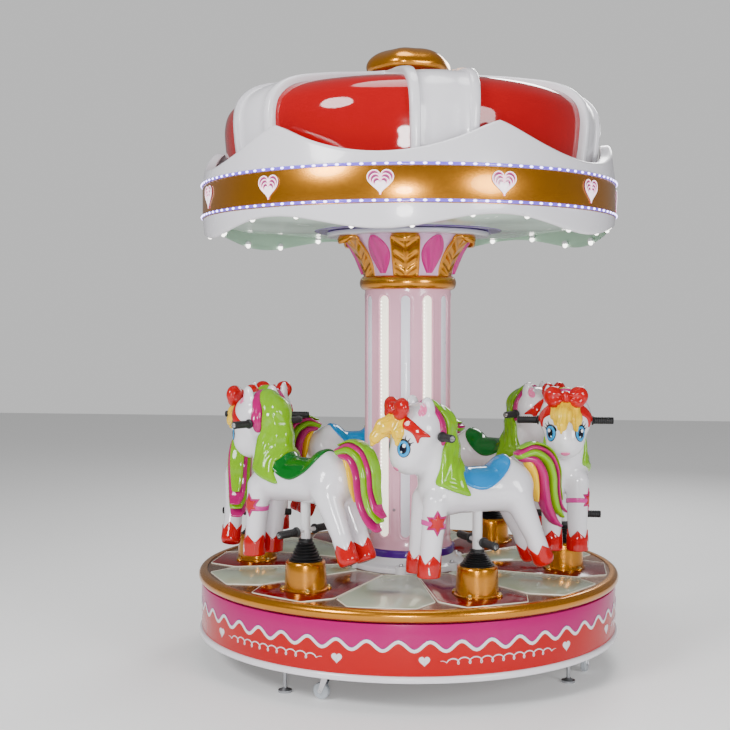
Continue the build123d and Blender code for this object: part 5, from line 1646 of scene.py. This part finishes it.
def limb(u, v, w, start, end, start_radius, end_radius):
    """Distance to a rounded bar whose radius changes along it."""
    run = np.subtract(end, start)
    du, dv, dw = u - start[0], v - start[1], w - start[2]
    t = np.clip((du * run[0] + dv * run[1] + dw * run[2]) / float(run @ run), 0, 1)
    off = np.sqrt((du - t * run[0]) ** 2 + (dv - t * run[1]) ** 2 + (dw - t * run[2]) ** 2)
    return off - (start_radius + (end_radius - start_radius) * t)


def egg(u, v, w, centre, radii):
    """Distance, nearly, to an egg with its own half-size along each side."""
    parts = [(place - middle) / size for place, middle, size in zip((u, v, w), centre, radii)]
    near = np.sqrt(parts[0] ** 2 + parts[1] ** 2 + parts[2] ** 2)
    steep = np.sqrt(sum((part / size) ** 2 for part, size in zip(parts, radii)))
    return near * (near - 1) / np.maximum(steep, 1e-6)


def outline_field(outline, per_span=5):
    """Signed distance to a smoothed outline in a plane; negative inside."""
    line = smooth_line(outline, per_span, closed=True)

    def field(a, b):
        a, b = np.broadcast_arrays(a, b)
        best = np.full(a.shape, 1e9)
        inside = np.zeros(a.shape, bool)
        for (pa, pb), (qa, qb) in zip(line, np.roll(line, -1, 0)):
            ra, rb = qa - pa, qb - pb
            t = np.clip(((a - pa) * ra + (b - pb) * rb) / max(ra * ra + rb * rb, 1e-12), 0, 1)
            best = np.minimum(best, (a - pa - t * ra) ** 2 + (b - pb - t * rb) ** 2)
            if abs(rb) > 1e-12:
                inside ^= ((pb > b) != (qb > b)) & (a < pa + ra * (b - pb) / rb)
        return np.where(inside, -1, 1) * np.sqrt(best)

    return field


def grow_skin(name, field, low, high, cell, material):
    """A closed skin at a field's zero level: one point per crossed cell, drawn onto the level."""
    sides = [np.arange(a - 2 * cell, b + 3 * cell, cell) for a, b in zip(low, high)]
    u, v, w = sides[0][:, None, None], sides[1][None, :, None], sides[2][None, None, :]
    value = np.broadcast_to(field(u, v, w), [len(s) for s in sides]).copy()
    for axis in range(3):
        ends = [slice(None)] * 3
        for end in (0, -1):
            ends[axis] = end
            value[tuple(ends)] = np.maximum(value[tuple(ends)], cell)
    inside = value < 0
    shape = [n - 1 for n in value.shape]
    total = np.zeros(shape + [3])
    crossings = np.zeros(shape)
    corner = [slice(0, -1), slice(1, None)]
    for axis in range(3):
        others = [k for k in range(3) if k != axis]
        for p in (0, 1):
            for q in (0, 1):
                near, far = [None] * 3, [None] * 3
                near[axis], far[axis] = corner[0], corner[1]
                for k, bit in zip(others, (p, q)):
                    near[k] = far[k] = corner[bit]
                a, b = value[tuple(near)], value[tuple(far)]
                cut = (a < 0) != (b < 0)
                t = np.where(cut, a / np.where(cut, a - b, 1), 0)
                total[..., axis] += np.where(cut, t, 0)
                for k, bit in zip(others, (p, q)):
                    total[..., k] += np.where(cut, bit, 0)
                crossings += cut
    used = crossings > 0
    if not used.any():
        raise RuntimeError(f"{name} has no skin")
    number = np.full(shape, -1)
    number[used] = np.arange(int(used.sum()))
    cells = np.argwhere(used)
    points = (cells + total[used] / crossings[used][:, None]) * cell + np.array([s[0] for s in sides])
    faces = []
    for axis in range(3):
        others = [(axis + 1) % 3, (axis + 2) % 3]
        near, far = [slice(None)] * 3, [slice(None)] * 3
        near[axis], far[axis] = corner[0], corner[1]
        cut = np.argwhere(inside[tuple(near)] != inside[tuple(far)])
        cut = cut[(cut[:, others[0]] > 0) & (cut[:, others[1]] > 0)]
        flip = inside[tuple(cut.T)]
        corners = []
        for p, q in ((0, 0), (-1, 0), (-1, -1), (0, -1)):
            spot = cut.copy()
            spot[:, others[0]] += p
            spot[:, others[1]] += q
            corners.append(number[tuple(spot.T)])
        quads = np.stack(corners, 1)
        quads[~flip] = quads[~flip][:, ::-1]
        faces.append(quads)
    faces = np.concatenate(faces)
    faces = faces[(faces >= 0).all(1)]
    step = cell * 0.05
    for _ in range(3):
        here = field(*points.T)
        slope = np.stack([
            (field(*(points + step * np.eye(3)[k]).T) - field(*(points - step * np.eye(3)[k]).T)) / (2 * step)
            for k in range(3)
        ], 1)
        steep = np.maximum((slope**2).sum(1), 0.3)
        move = -(here / steep)[:, None] * slope
        points = points + np.clip(move, -0.5 * cell, 0.5 * cell)
    return solid(name, points, faces, material, 75, merge=1e-7)


HIND_HOOF = (-0.286, 0.056, 0.162)
HIND_RUN = (-0.414, -0.910)


def horse_core(u, v, w):
    """Distance to the horse's white body without its ears."""
    side = np.abs(v)
    skin = limb(u, v, w, (-0.15, 0, 0.462), (0.165, 0, 0.462), 0.095, 0.094)
    for part in (
        egg(u, v, w, (0.158, 0, 0.470), (0.100, 0.100, 0.100)),
        egg(u, v, w, (-0.147, 0, 0.475), (0.105, 0.105, 0.105)),
        egg(u, v, w, (-0.12, 0, 0.540), (0.061, 0.061, 0.061)),
        egg(u, v, w, (0.125, 0, 0.530), (0.060, 0.060, 0.060)),
        limb(u, v, w, (0.150, 0, 0.480), (0.262, 0, 0.690), 0.093, 0.079),
        egg(u, v, w, (0.275, 0, 0.720), (0.120, 0.116, 0.120)),
        egg(u, v, w, (0.317, 0, 0.628), (0.084, 0.086, 0.088)),
        limb(u, v, w, (0.225, 0, 0.790), (0.175, 0, 0.750), 0.045, 0.050),
        limb(u, v, w, (0.175, 0, 0.750), (0.155, 0, 0.650), 0.050, 0.047),
        limb(u, v, w, (0.155, 0, 0.650), (0.160, 0, 0.590), 0.047, 0.041),
    ):
        skin = soft_min(skin, part, 0.03)
    nostril = egg(u, side, w, (0.398, 0.034, 0.600), (0.010, 0.010, 0.007))
    skin = soft_max(skin, -nostril, 0.008)
    front = limb(u, side, w, (0.222, 0.057, 0.430), (0.252, 0.058, 0.150), 0.052, 0.041)
    front = soft_min(front, limb(u, side, w, (0.253, 0.058, 0.122), (0.251, 0.058, 0.168), 0.046, 0.044), 0.012)
    front = soft_max(front, 0.122 - w, 0.006)
    hind = limb(u, side, w, (-0.160, 0.054, 0.440), (-0.262, 0.056, 0.220), 0.062, 0.038)
    hind = soft_min(hind, limb(u, side, w, HIND_HOOF, (-0.256, 0.056, 0.228), 0.043, 0.040), 0.012)
    sole = (u - HIND_HOOF[0]) * HIND_RUN[0] + (w - HIND_HOOF[2]) * HIND_RUN[1] - 0.022
    hind = soft_max(hind, sole, 0.006)
    return soft_min(skin, soft_min(front, hind, 0.01), 0.02)


def horse_body(u, v, w):
    """Distance to the horse's white body."""
    side = np.abs(v)
    ear = egg(u, side, w, (0.270, 0.078, 0.810), (0.034, 0.018, 0.058))
    dish = egg(u, side, w, (0.296, 0.084, 0.815), (0.020, 0.012, 0.036))
    return soft_min(horse_core(u, v, w), soft_max(ear, -dish, 0.006), 0.009)


def raised(mask, height, depth=0.006, soft=0.006, body=horse_core):
    """A raised shape on the body: inside the mask, and height proud of the skin."""

    def field(u, v, w):
        skin = body(u, v, w)
        edge = mask(u, v, w)
        lift = height(edge, u, v, w) if callable(height) else height
        return np.maximum(soft_max(skin - lift, edge, soft), -(skin + depth))

    return field


def star_outline(outer, inner, points=6):
    """A star as a list of points round the origin."""
    turns = np.arange(2 * points) * math.pi / points
    reach = np.where(np.arange(2 * points) % 2 == 0, outer, inner)
    return np.stack([reach * np.sin(turns), reach * np.cos(turns)], 1)


def chain(points, radii):
    """Distance to a soft chain of tapering bars."""

    def field(u, v, w):
        best = None
        for (a, b), (ra, rb) in zip(zip(points, points[1:]), zip(radii, radii[1:])):
            part = limb(u, v, w, a, b, ra, rb)
            best = part if best is None else soft_min(best, part, 0.012)
        return best

    return field


class CAROUSEL_OT_horses(bpy.types.Operator):
    """Makes the six horses with their manes, saddles, bows, faces, tails, hooves and handles"""

    bl_idname = "carousel.horses"
    bl_label = "Horses"

    def execute(self, context):
        cell = sizes().skin_cell
        fine = sizes().relief_cell
        low, high = (-0.34, -0.14, 0.11), (0.42, 0.14, 0.88)
        masters = {
            "skin": grow_skin("skin", horse_body, low, high, cell, horse_white()),
            "mane": self.mane(fine), "forelock": self.forelock(fine), "bow": self.bow(fine),
            "face": self.face(), "feet": self.feet(), "tail": self.tail(), "handles": self.handles(),
        }
        saddle = self.saddle(fine)
        leather = [gloss("saddle_" + shade, getattr(colours(), "saddle_" + shade))
                   for shade in ("green", "blue", "orange")]
        for number in range(HORSES):
            turn = math.radians(FIRST_HORSE + HORSE_STEP * number)
            centre = horse_centre(number)
            place = Matrix((
                (-math.cos(turn), math.sin(turn), 0, centre.x),
                (-math.sin(turn), -math.cos(turn), 0, centre.y),
                (0, 0, 1, DECK_LEVEL + horse_lift(number)),
                (0, 0, 0, 1),
            ))
            body = f"horse_{number + 1}"
            for kind, master in masters.items():
                node = {"skin": [body + "_shell"], "handles": [body + "_grips"]}.get(kind, [])
                keep(placed_copy(master, f"{body}_{kind}", place), body, node)
            seat = placed_copy(saddle, body + "_saddle", place)
            seat.data.materials[0] = leather[number % len(leather)]
            keep(seat, body)
        for master in list(masters.values()) + [saddle]:
            bpy.data.objects.remove(master)
        return {"FINISHED"}

    def mane(self, cell):
        """The lime mane with its strands, and the magenta strip along its front."""
        edge = outline_field([
            (0.245, 0.875), (0.16, 0.85), (0.08, 0.72), (0.07, 0.62), (0.09, 0.56), (0.105, 0.545),
            (0.10, 0.50), (0.081, 0.452), (0.15, 0.470), (0.205, 0.492), (0.232, 0.51), (0.215, 0.575),
            (0.203, 0.642), (0.185, 0.68), (0.182, 0.76), (0.215, 0.82),
        ])
        strip = outline_field([
            (0.262, 0.862), (0.225, 0.84), (0.19, 0.77), (0.185, 0.70), (0.195, 0.668), (0.212, 0.672),
            (0.222, 0.72), (0.226, 0.775), (0.25, 0.825),
        ])
        lime = gloss("mane_lime", colours().lime)
        magenta = gloss("mane_magenta", colours().magenta)
        hair = raised(lambda u, v, w: edge(u, w), lambda e, u, v, w: 0.0135 - 0.0016 * np.cos(TAU * e / 0.034))
        band = raised(lambda u, v, w: strip(u, w), lambda e, u, v, w: 0.009 - 0.001 * np.cos(TAU * e / 0.02))
        return join("mane", [
            grow_skin("mane_lime", hair, (0.06, -0.13, 0.44), (0.26, 0.13, 0.88), cell, lime),
            grow_skin("mane_strip", band, (0.17, -0.135, 0.65), (0.28, 0.135, 0.88), cell, magenta),
        ])

    def forelock(self, cell):
        locks = [
            chain([(0.365, 0, 0.772), (0.425, -0.010, 0.742), (0.462, -0.016, 0.700), (0.475, -0.020, 0.672)],
                  [0.040, 0.036, 0.022, 0.007]),
            chain([(0.36, 0.034, 0.765), (0.385, 0.045, 0.72), (0.392, 0.045, 0.675)], [0.033, 0.026, 0.008]),
            chain([(0.36, -0.034, 0.765), (0.386, -0.040, 0.735), (0.392, -0.040, 0.70)],
                  [0.033, 0.024, 0.009]),
        ]

        def field(u, v, w):
            best = locks[0](u, v, w)
            for lock in locks[1:]:
                best = soft_min(best, lock(u, v, w), 0.006)
            return best + 0.0022 * np.cos(TAU * (v + 0.25 * (u - 0.36)) / 0.017)

        yellow = gloss("hair_yellow", colours().yellow)
        return grow_skin("forelock", field, (0.31, -0.085, 0.655), (0.485, 0.085, 0.85), cell, yellow)

    def bow(self, cell):
        tails = outline_field([
            (0.375, 0.80), (0.358, 0.794), (0.313, 0.743), (0.270, 0.706), (0.313, 0.704), (0.322, 0.678),
            (0.345, 0.72), (0.38, 0.75),
        ])

        def loops(u, v, w):
            side = np.abs(v)
            loop = egg(u, side, w, (0.374, 0.054, 0.824), (0.030, 0.044, 0.044))
            loop = soft_min(loop, egg(u, side, w, (0.384, 0.046, 0.796), (0.022, 0.034, 0.026)), 0.010)
            folds = np.cos(TAU * np.arctan2(w - 0.818, side + 0.02) / 0.6)
            loop = loop + 0.0035 * folds * np.clip(1 - side / 0.09, 0, 1)
            return soft_min(loop, egg(u, v, w, (0.392, 0, 0.820), (0.024, 0.020, 0.028)), 0.004)

        red = gloss("bow_red", colours().red)
        ribbon = raised(lambda u, v, w: tails(u, w), 0.006)
        return join("bow", [
            grow_skin("bow_loops", loops, (0.33, -0.11, 0.76), (0.43, 0.11, 0.88), 0.004, red),
            grow_skin("bow_tails", ribbon, (0.26, -0.13, 0.67), (0.39, 0.13, 0.81), cell, red),
        ])

    def face(self):
        """Layered eyes with lashes, a smile and the ear linings."""
        turn = math.radians(40)
        ahead, across = (math.cos(turn), math.sin(turn)), (-math.sin(turn), math.cos(turn))

        def eye_plane(u, v, w):
            side = np.abs(v)
            x = (u - 0.372) * across[0] + (side - 0.066) * across[1]
            depth = (u - 0.372) * ahead[0] + (side - 0.066) * ahead[1]
            return x, w - 0.657, depth

        def spot(x0, y0, half_x, half_y):
            def mask(u, v, w):
                x, y, depth = eye_plane(u, v, w)
                near = np.sqrt(((x - x0) / half_x) ** 2 + ((y - y0) / half_y) ** 2)
                return np.maximum((near - 1) * min(half_x, half_y), -0.03 - depth)
            return mask

        def lashes(u, v, w):
            x, y, depth = eye_plane(u, v, w)
            reach = np.sqrt((x / 0.031) ** 2 + (y / 0.038) ** 2)
            arc = np.maximum(np.abs(reach - 1) * 0.034 - 0.0032, 0.012 - y)
            for first, last in (
                ((0.008, 0.038, 0), (0.014, 0.056, 0)), ((0.020, 0.030, 0), (0.032, 0.045, 0)),
                ((0.027, 0.020, 0), (0.043, 0.028, 0)),
            ):
                arc = np.minimum(arc, limb(x, y, 0 * x, first, last, 0.0028, 0.0012))
            return np.maximum(arc, -0.04 - depth)

        def smile(u, v, w):
            level = w - 0.566 - 8 * v**2
            near = np.sqrt((v / 0.021) ** 2 + (level / 0.0085) ** 2)
            return np.maximum((near - 1) * 0.0085, 0.33 - u)

        def ear_lining(u, v, w):
            return egg(u, np.abs(v), w, (0.296, 0.084, 0.815), (0.022, 0.014, 0.034))

        low, high = (0.30, -0.12, 0.59), (0.42, 0.12, 0.73)
        pieces = [
            ("eye_rim", spot(0, 0, 0.0295, 0.0365), 0.0024, paint(24, 20, 26)),
            ("eye_blue", spot(0, 0, 0.0265, 0.0335), 0.0042, paint(24, 150, 214)),
            ("eye_pupil", spot(0, 0.001, 0.016, 0.022), 0.0056, paint(12, 16, 34)),
            # The next two spots are painted highlights on the eye: a white one up and to one side, and a pale
            # blue one down and to the other.
            ("eye_light", spot(0.005, 0.013, 0.0075, 0.0085), 0.0068, paint(246, 246, 250)),
            ("eye_glint", spot(-0.007, -0.013, 0.0042, 0.005), 0.0066, paint(200, 236, 250)),
            ("lashes", lashes, 0.0026, paint(16, 12, 16)),
        ]
        made = []
        for name, mask, height, colour in pieces:
            shape = raised(mask, height, 0.004, 0.0016)
            made.append(grow_skin(name, shape, low, high, 0.0027, gloss(name, colour, 0.08)))
        rose = gloss("lip_pink", paint(240, 120, 170))
        shape = raised(smile, 0.003, 0.004, 0.003)
        made.append(grow_skin("smile", shape, (0.34, -0.04, 0.53), (0.42, 0.04, 0.60), 0.0026, rose))
        shape = raised(ear_lining, 0.0014, 0.003, 0.002, horse_body)
        made.append(grow_skin("ear_lining", shape, (0.26, -0.11, 0.76), (0.33, 0.11, 0.87), 0.0036, rose))
        return join("face", made)

    def feet(self):
        """Red hooves with zigzag tops, and an anklet and a star on the front leg at +v."""
        red = gloss("hoof_red", colours().red)
        # The white below paints a highlight on each front hoof.
        white = gloss("glint_white", paint(244, 242, 246))
        magenta = gloss("star_magenta", colours().magenta)
        rose = gloss("anklet_rose", paint(206, 66, 150))

        def front_hoof(u, v, w):
            turn = np.arctan2(np.abs(v) - 0.058, u - 0.251)
            top = 0.196 + 0.034 * (2 * np.abs((turn / TAU * 4) % 1 - 0.5) - 0.5)
            return np.maximum(w - top, 0.15 - u)

        def hind_hoof(u, v, w):
            along = -((u - HIND_HOOF[0]) * HIND_RUN[0] + (w - HIND_HOOF[2]) * HIND_RUN[1])
            across = (u - HIND_HOOF[0]) * HIND_RUN[1] - (w - HIND_HOOF[2]) * HIND_RUN[0]
            turn = np.arctan2(np.abs(v) - 0.056, across)
            top = 0.050 + 0.034 * (2 * np.abs((turn / TAU * 4) % 1 - 0.5) - 0.5)
            return np.maximum(along - top, u + 0.15)

        def leg_plane(u, v, w):
            return 0.047 * np.arctan2(u - 0.236, v - 0.058), w - 0.347

        def on_leg(shape):
            def mask(u, v, w):
                x, y = leg_plane(u, v, w)
                return np.maximum(np.maximum(shape(x, y), 0.055 - v), 0.15 - u)
            return mask

        big = outline_field(star_outline(0.056, 0.031), 1)
        small = outline_field(star_outline(0.039, 0.021), 1)

        def anklet(u, v, w):
            level = w - 0.338 - 0.2 * (u - 0.23)
            return np.maximum(np.maximum(np.abs(level) - 0.011, -v), 0.15 - u)

        # A short white stroke on each front hoof's glossy red: a painted highlight.
        def glint(u, v, w):
            x, y = 0.047 * np.arctan2(u - 0.236, np.abs(v) - 0.058), w
            return np.maximum(limb(x, y, 0 * x, (0.030, 0.137, 0), (0.033, 0.165, 0), 0.0028, 0.0012), 0.15 - u)

        reliefs = (
            ("hoof_front", raised(front_hoof, 0.004, 0.006, 0.003),
             (0.19, -0.12, 0.11), (0.31, 0.12, 0.225), 0.0036, red),
            ("hoof_hind", raised(hind_hoof, 0.004, 0.006, 0.003),
             (-0.36, -0.115, 0.11), (-0.19, 0.115, 0.265), 0.0036, red),
            ("star_back", raised(on_leg(big), 0.003, 0.004, 0.002),
             (0.16, 0.05, 0.28), (0.31, 0.12, 0.415), 0.0032, magenta),
            ("star_front", raised(on_leg(small), 0.0055, 0.004, 0.002),
             (0.16, 0.05, 0.30), (0.31, 0.12, 0.395), 0.0032, red),
            ("anklet", raised(anklet, 0.0035, 0.004, 0.003),
             (0.16, 0.0, 0.30), (0.32, 0.12, 0.38), 0.0036, rose),
            ("hoof_glint", raised(glint, 0.0056, 0.003, 0.0015),
             (0.19, -0.12, 0.12), (0.32, 0.12, 0.18), 0.003, white),
        )
        return join("feet", [grow_skin(*relief) for relief in reliefs])

    def tail(self):
        """Five flat strands, each a line of u, w and half thickness, with its width."""
        strands = [
            ("tail_yellow", colours().yellow, 0.040, [
                (-0.235, 0.575, 0.016), (-0.262, 0.53, 0.018), (-0.275, 0.46, 0.016), (-0.285, 0.40, 0.006),
            ]),
            ("tail_magenta", colours().magenta, 0.050, [
                (-0.215, 0.59, 0.02), (-0.27, 0.575, 0.022), (-0.305, 0.52, 0.024), (-0.315, 0.45, 0.024),
                (-0.33, 0.38, 0.022), (-0.365, 0.315, 0.018), (-0.40, 0.285, 0.007),
            ]),
            ("tail_lime", colours().lime, 0.055, [
                (-0.20, 0.60, 0.018), (-0.265, 0.612, 0.02), (-0.325, 0.575, 0.02), (-0.35, 0.51, 0.02),
                (-0.355, 0.44, 0.02), (-0.375, 0.37, 0.018), (-0.41, 0.325, 0.007),
            ]),
            ("tail_rose", colours().magenta, 0.046, [
                (-0.19, 0.608, 0.010), (-0.26, 0.635, 0.012), (-0.335, 0.605, 0.012), (-0.372, 0.53, 0.011),
                (-0.378, 0.45, 0.010), (-0.395, 0.38, 0.010), (-0.428, 0.345, 0.005),
            ]),
            ("tail_edge", colours().lime, 0.034, [
                (-0.20, 0.632, 0.006), (-0.27, 0.652, 0.008), (-0.345, 0.622, 0.008), (-0.388, 0.54, 0.008),
                (-0.394, 0.46, 0.007), (-0.408, 0.40, 0.004),
            ]),
        ]
        made = []
        for name, colour, width, line in strands:
            rows = smooth_line([(u, 0.0, w, half) for u, w, half in line], 6)
            share = np.linspace(0, 1, len(rows))
            flat = width * (0.45 + 0.55 * np.sin(math.pi * np.clip(0.12 + 0.86 * share, 0, 1)) ** 0.7)
            path, radii, flat = round_ends(rows[:, :3], rows[:, 3], flat)
            made.append(tube(name, path, radii, gloss("hair_" + name.split("_")[1], colour), 28, flat))
        return join("tail", made)

    def saddle(self, cell):
        edge = outline_field([
            (0.165, 0.575), (0.146, 0.543), (0.113, 0.512), (0.068, 0.484), (0.023, 0.474), (-0.016, 0.481),
            (-0.068, 0.512), (-0.113, 0.557), (-0.135, 0.60), (-0.12, 0.66), (0, 0.70), (0.17, 0.70),
        ])

        def height(e, u, v, w):
            return 0.0062 + 0.0022 * np.exp(-(((e + 0.010) / 0.006) ** 2))

        seat = raised(lambda u, v, w: edge(u, w), height)
        return grow_skin("saddle", seat, (-0.16, -0.125, 0.455), (0.185, 0.125, 0.64), cell, white_gelcoat())

    def handles(self):
        """The ribbed grips at both ends of the handlebar and of the foot bar."""
        rubber = finish("grip_rubber", paint(20, 20, 22), rough=0.5, grain=0.4, grain_scale=220, shade=0.15)
        made = []
        ribs, corner = 9, 0.005
        for u, w, total, length, radius, collar in (
            (0.222, 0.705, 0.433, 0.098, 0.0165, 0.0215), (0.0, 0.245, 0.344, 0.115, 0.017, 0.022),
        ):
            inner, end = total / 2 - length, total / 2
            steps = ((0, 0.8), (0, 1.0), (0.006, 1.0), (0.008, 0.86))
            rows = [(inner + off, collar * size) for off, size in steps]
            for k in range(ribs):
                for share, dent in ((0.0, 0.0022), (0.25, 0.0), (0.75, 0.0), (0.999, 0.0022)):
                    rows.append((inner + 0.010 + (length - 0.017) * (k + share) / ribs, radius - dent))
            for a in np.linspace(0, math.pi / 2, 6):
                rows.append((end - corner + corner * math.sin(a), radius - corner + corner * math.cos(a)))
            for side in (-1, 1):
                made.append(pile(f"grip_{len(made)}", rows, 28, rubber, lambda reach, size, a: (
                    u + size * math.cos(a), side * reach, w + size * math.sin(a)), 50))
        return join("handles", made)


# --------------------------------------------------------------------- panel and main


class CAROUSEL_PT_panel(bpy.types.Panel):
    """The settings and the pieces of the carousel"""

    bl_label = "Carousel"
    bl_idname = "CAROUSEL_PT_panel"
    bl_space_type = "VIEW_3D"
    bl_region_type = "UI"
    bl_category = "Carousel"

    def draw(self, context):
        for group in (context.scene.carousel_sizes, context.scene.carousel_colours):
            box = self.layout.box()
            for name in group.__annotations__:
                box.prop(group, name)
        for operator in OPERATORS:
            self.layout.operator(operator.bl_idname)


OPERATORS = (
    CAROUSEL_OT_stage, CAROUSEL_OT_frame_finish, CAROUSEL_OT_skirt, CAROUSEL_OT_deck, CAROUSEL_OT_pedestals,
    CAROUSEL_OT_column, CAROUSEL_OT_capital, CAROUSEL_OT_canopy, CAROUSEL_OT_crown, CAROUSEL_OT_horses,
)
CLASSES = (CarouselColours, CarouselSizes, *OPERATORS, CAROUSEL_PT_panel)


def register():
    for item in CLASSES:
        bpy.utils.register_class(item)
    bpy.types.Scene.carousel_colours = PointerProperty(type=CarouselColours)
    bpy.types.Scene.carousel_sizes = PointerProperty(type=CarouselSizes)


def unregister():
    del bpy.types.Scene.carousel_sizes
    del bpy.types.Scene.carousel_colours
    for item in reversed(CLASSES):
        bpy.utils.unregister_class(item)


def main():
    register()
    for operator in OPERATORS:
        getattr(bpy.ops.carousel, operator.bl_idname.split(".")[1])()


if __name__ == "__main__":
    main()
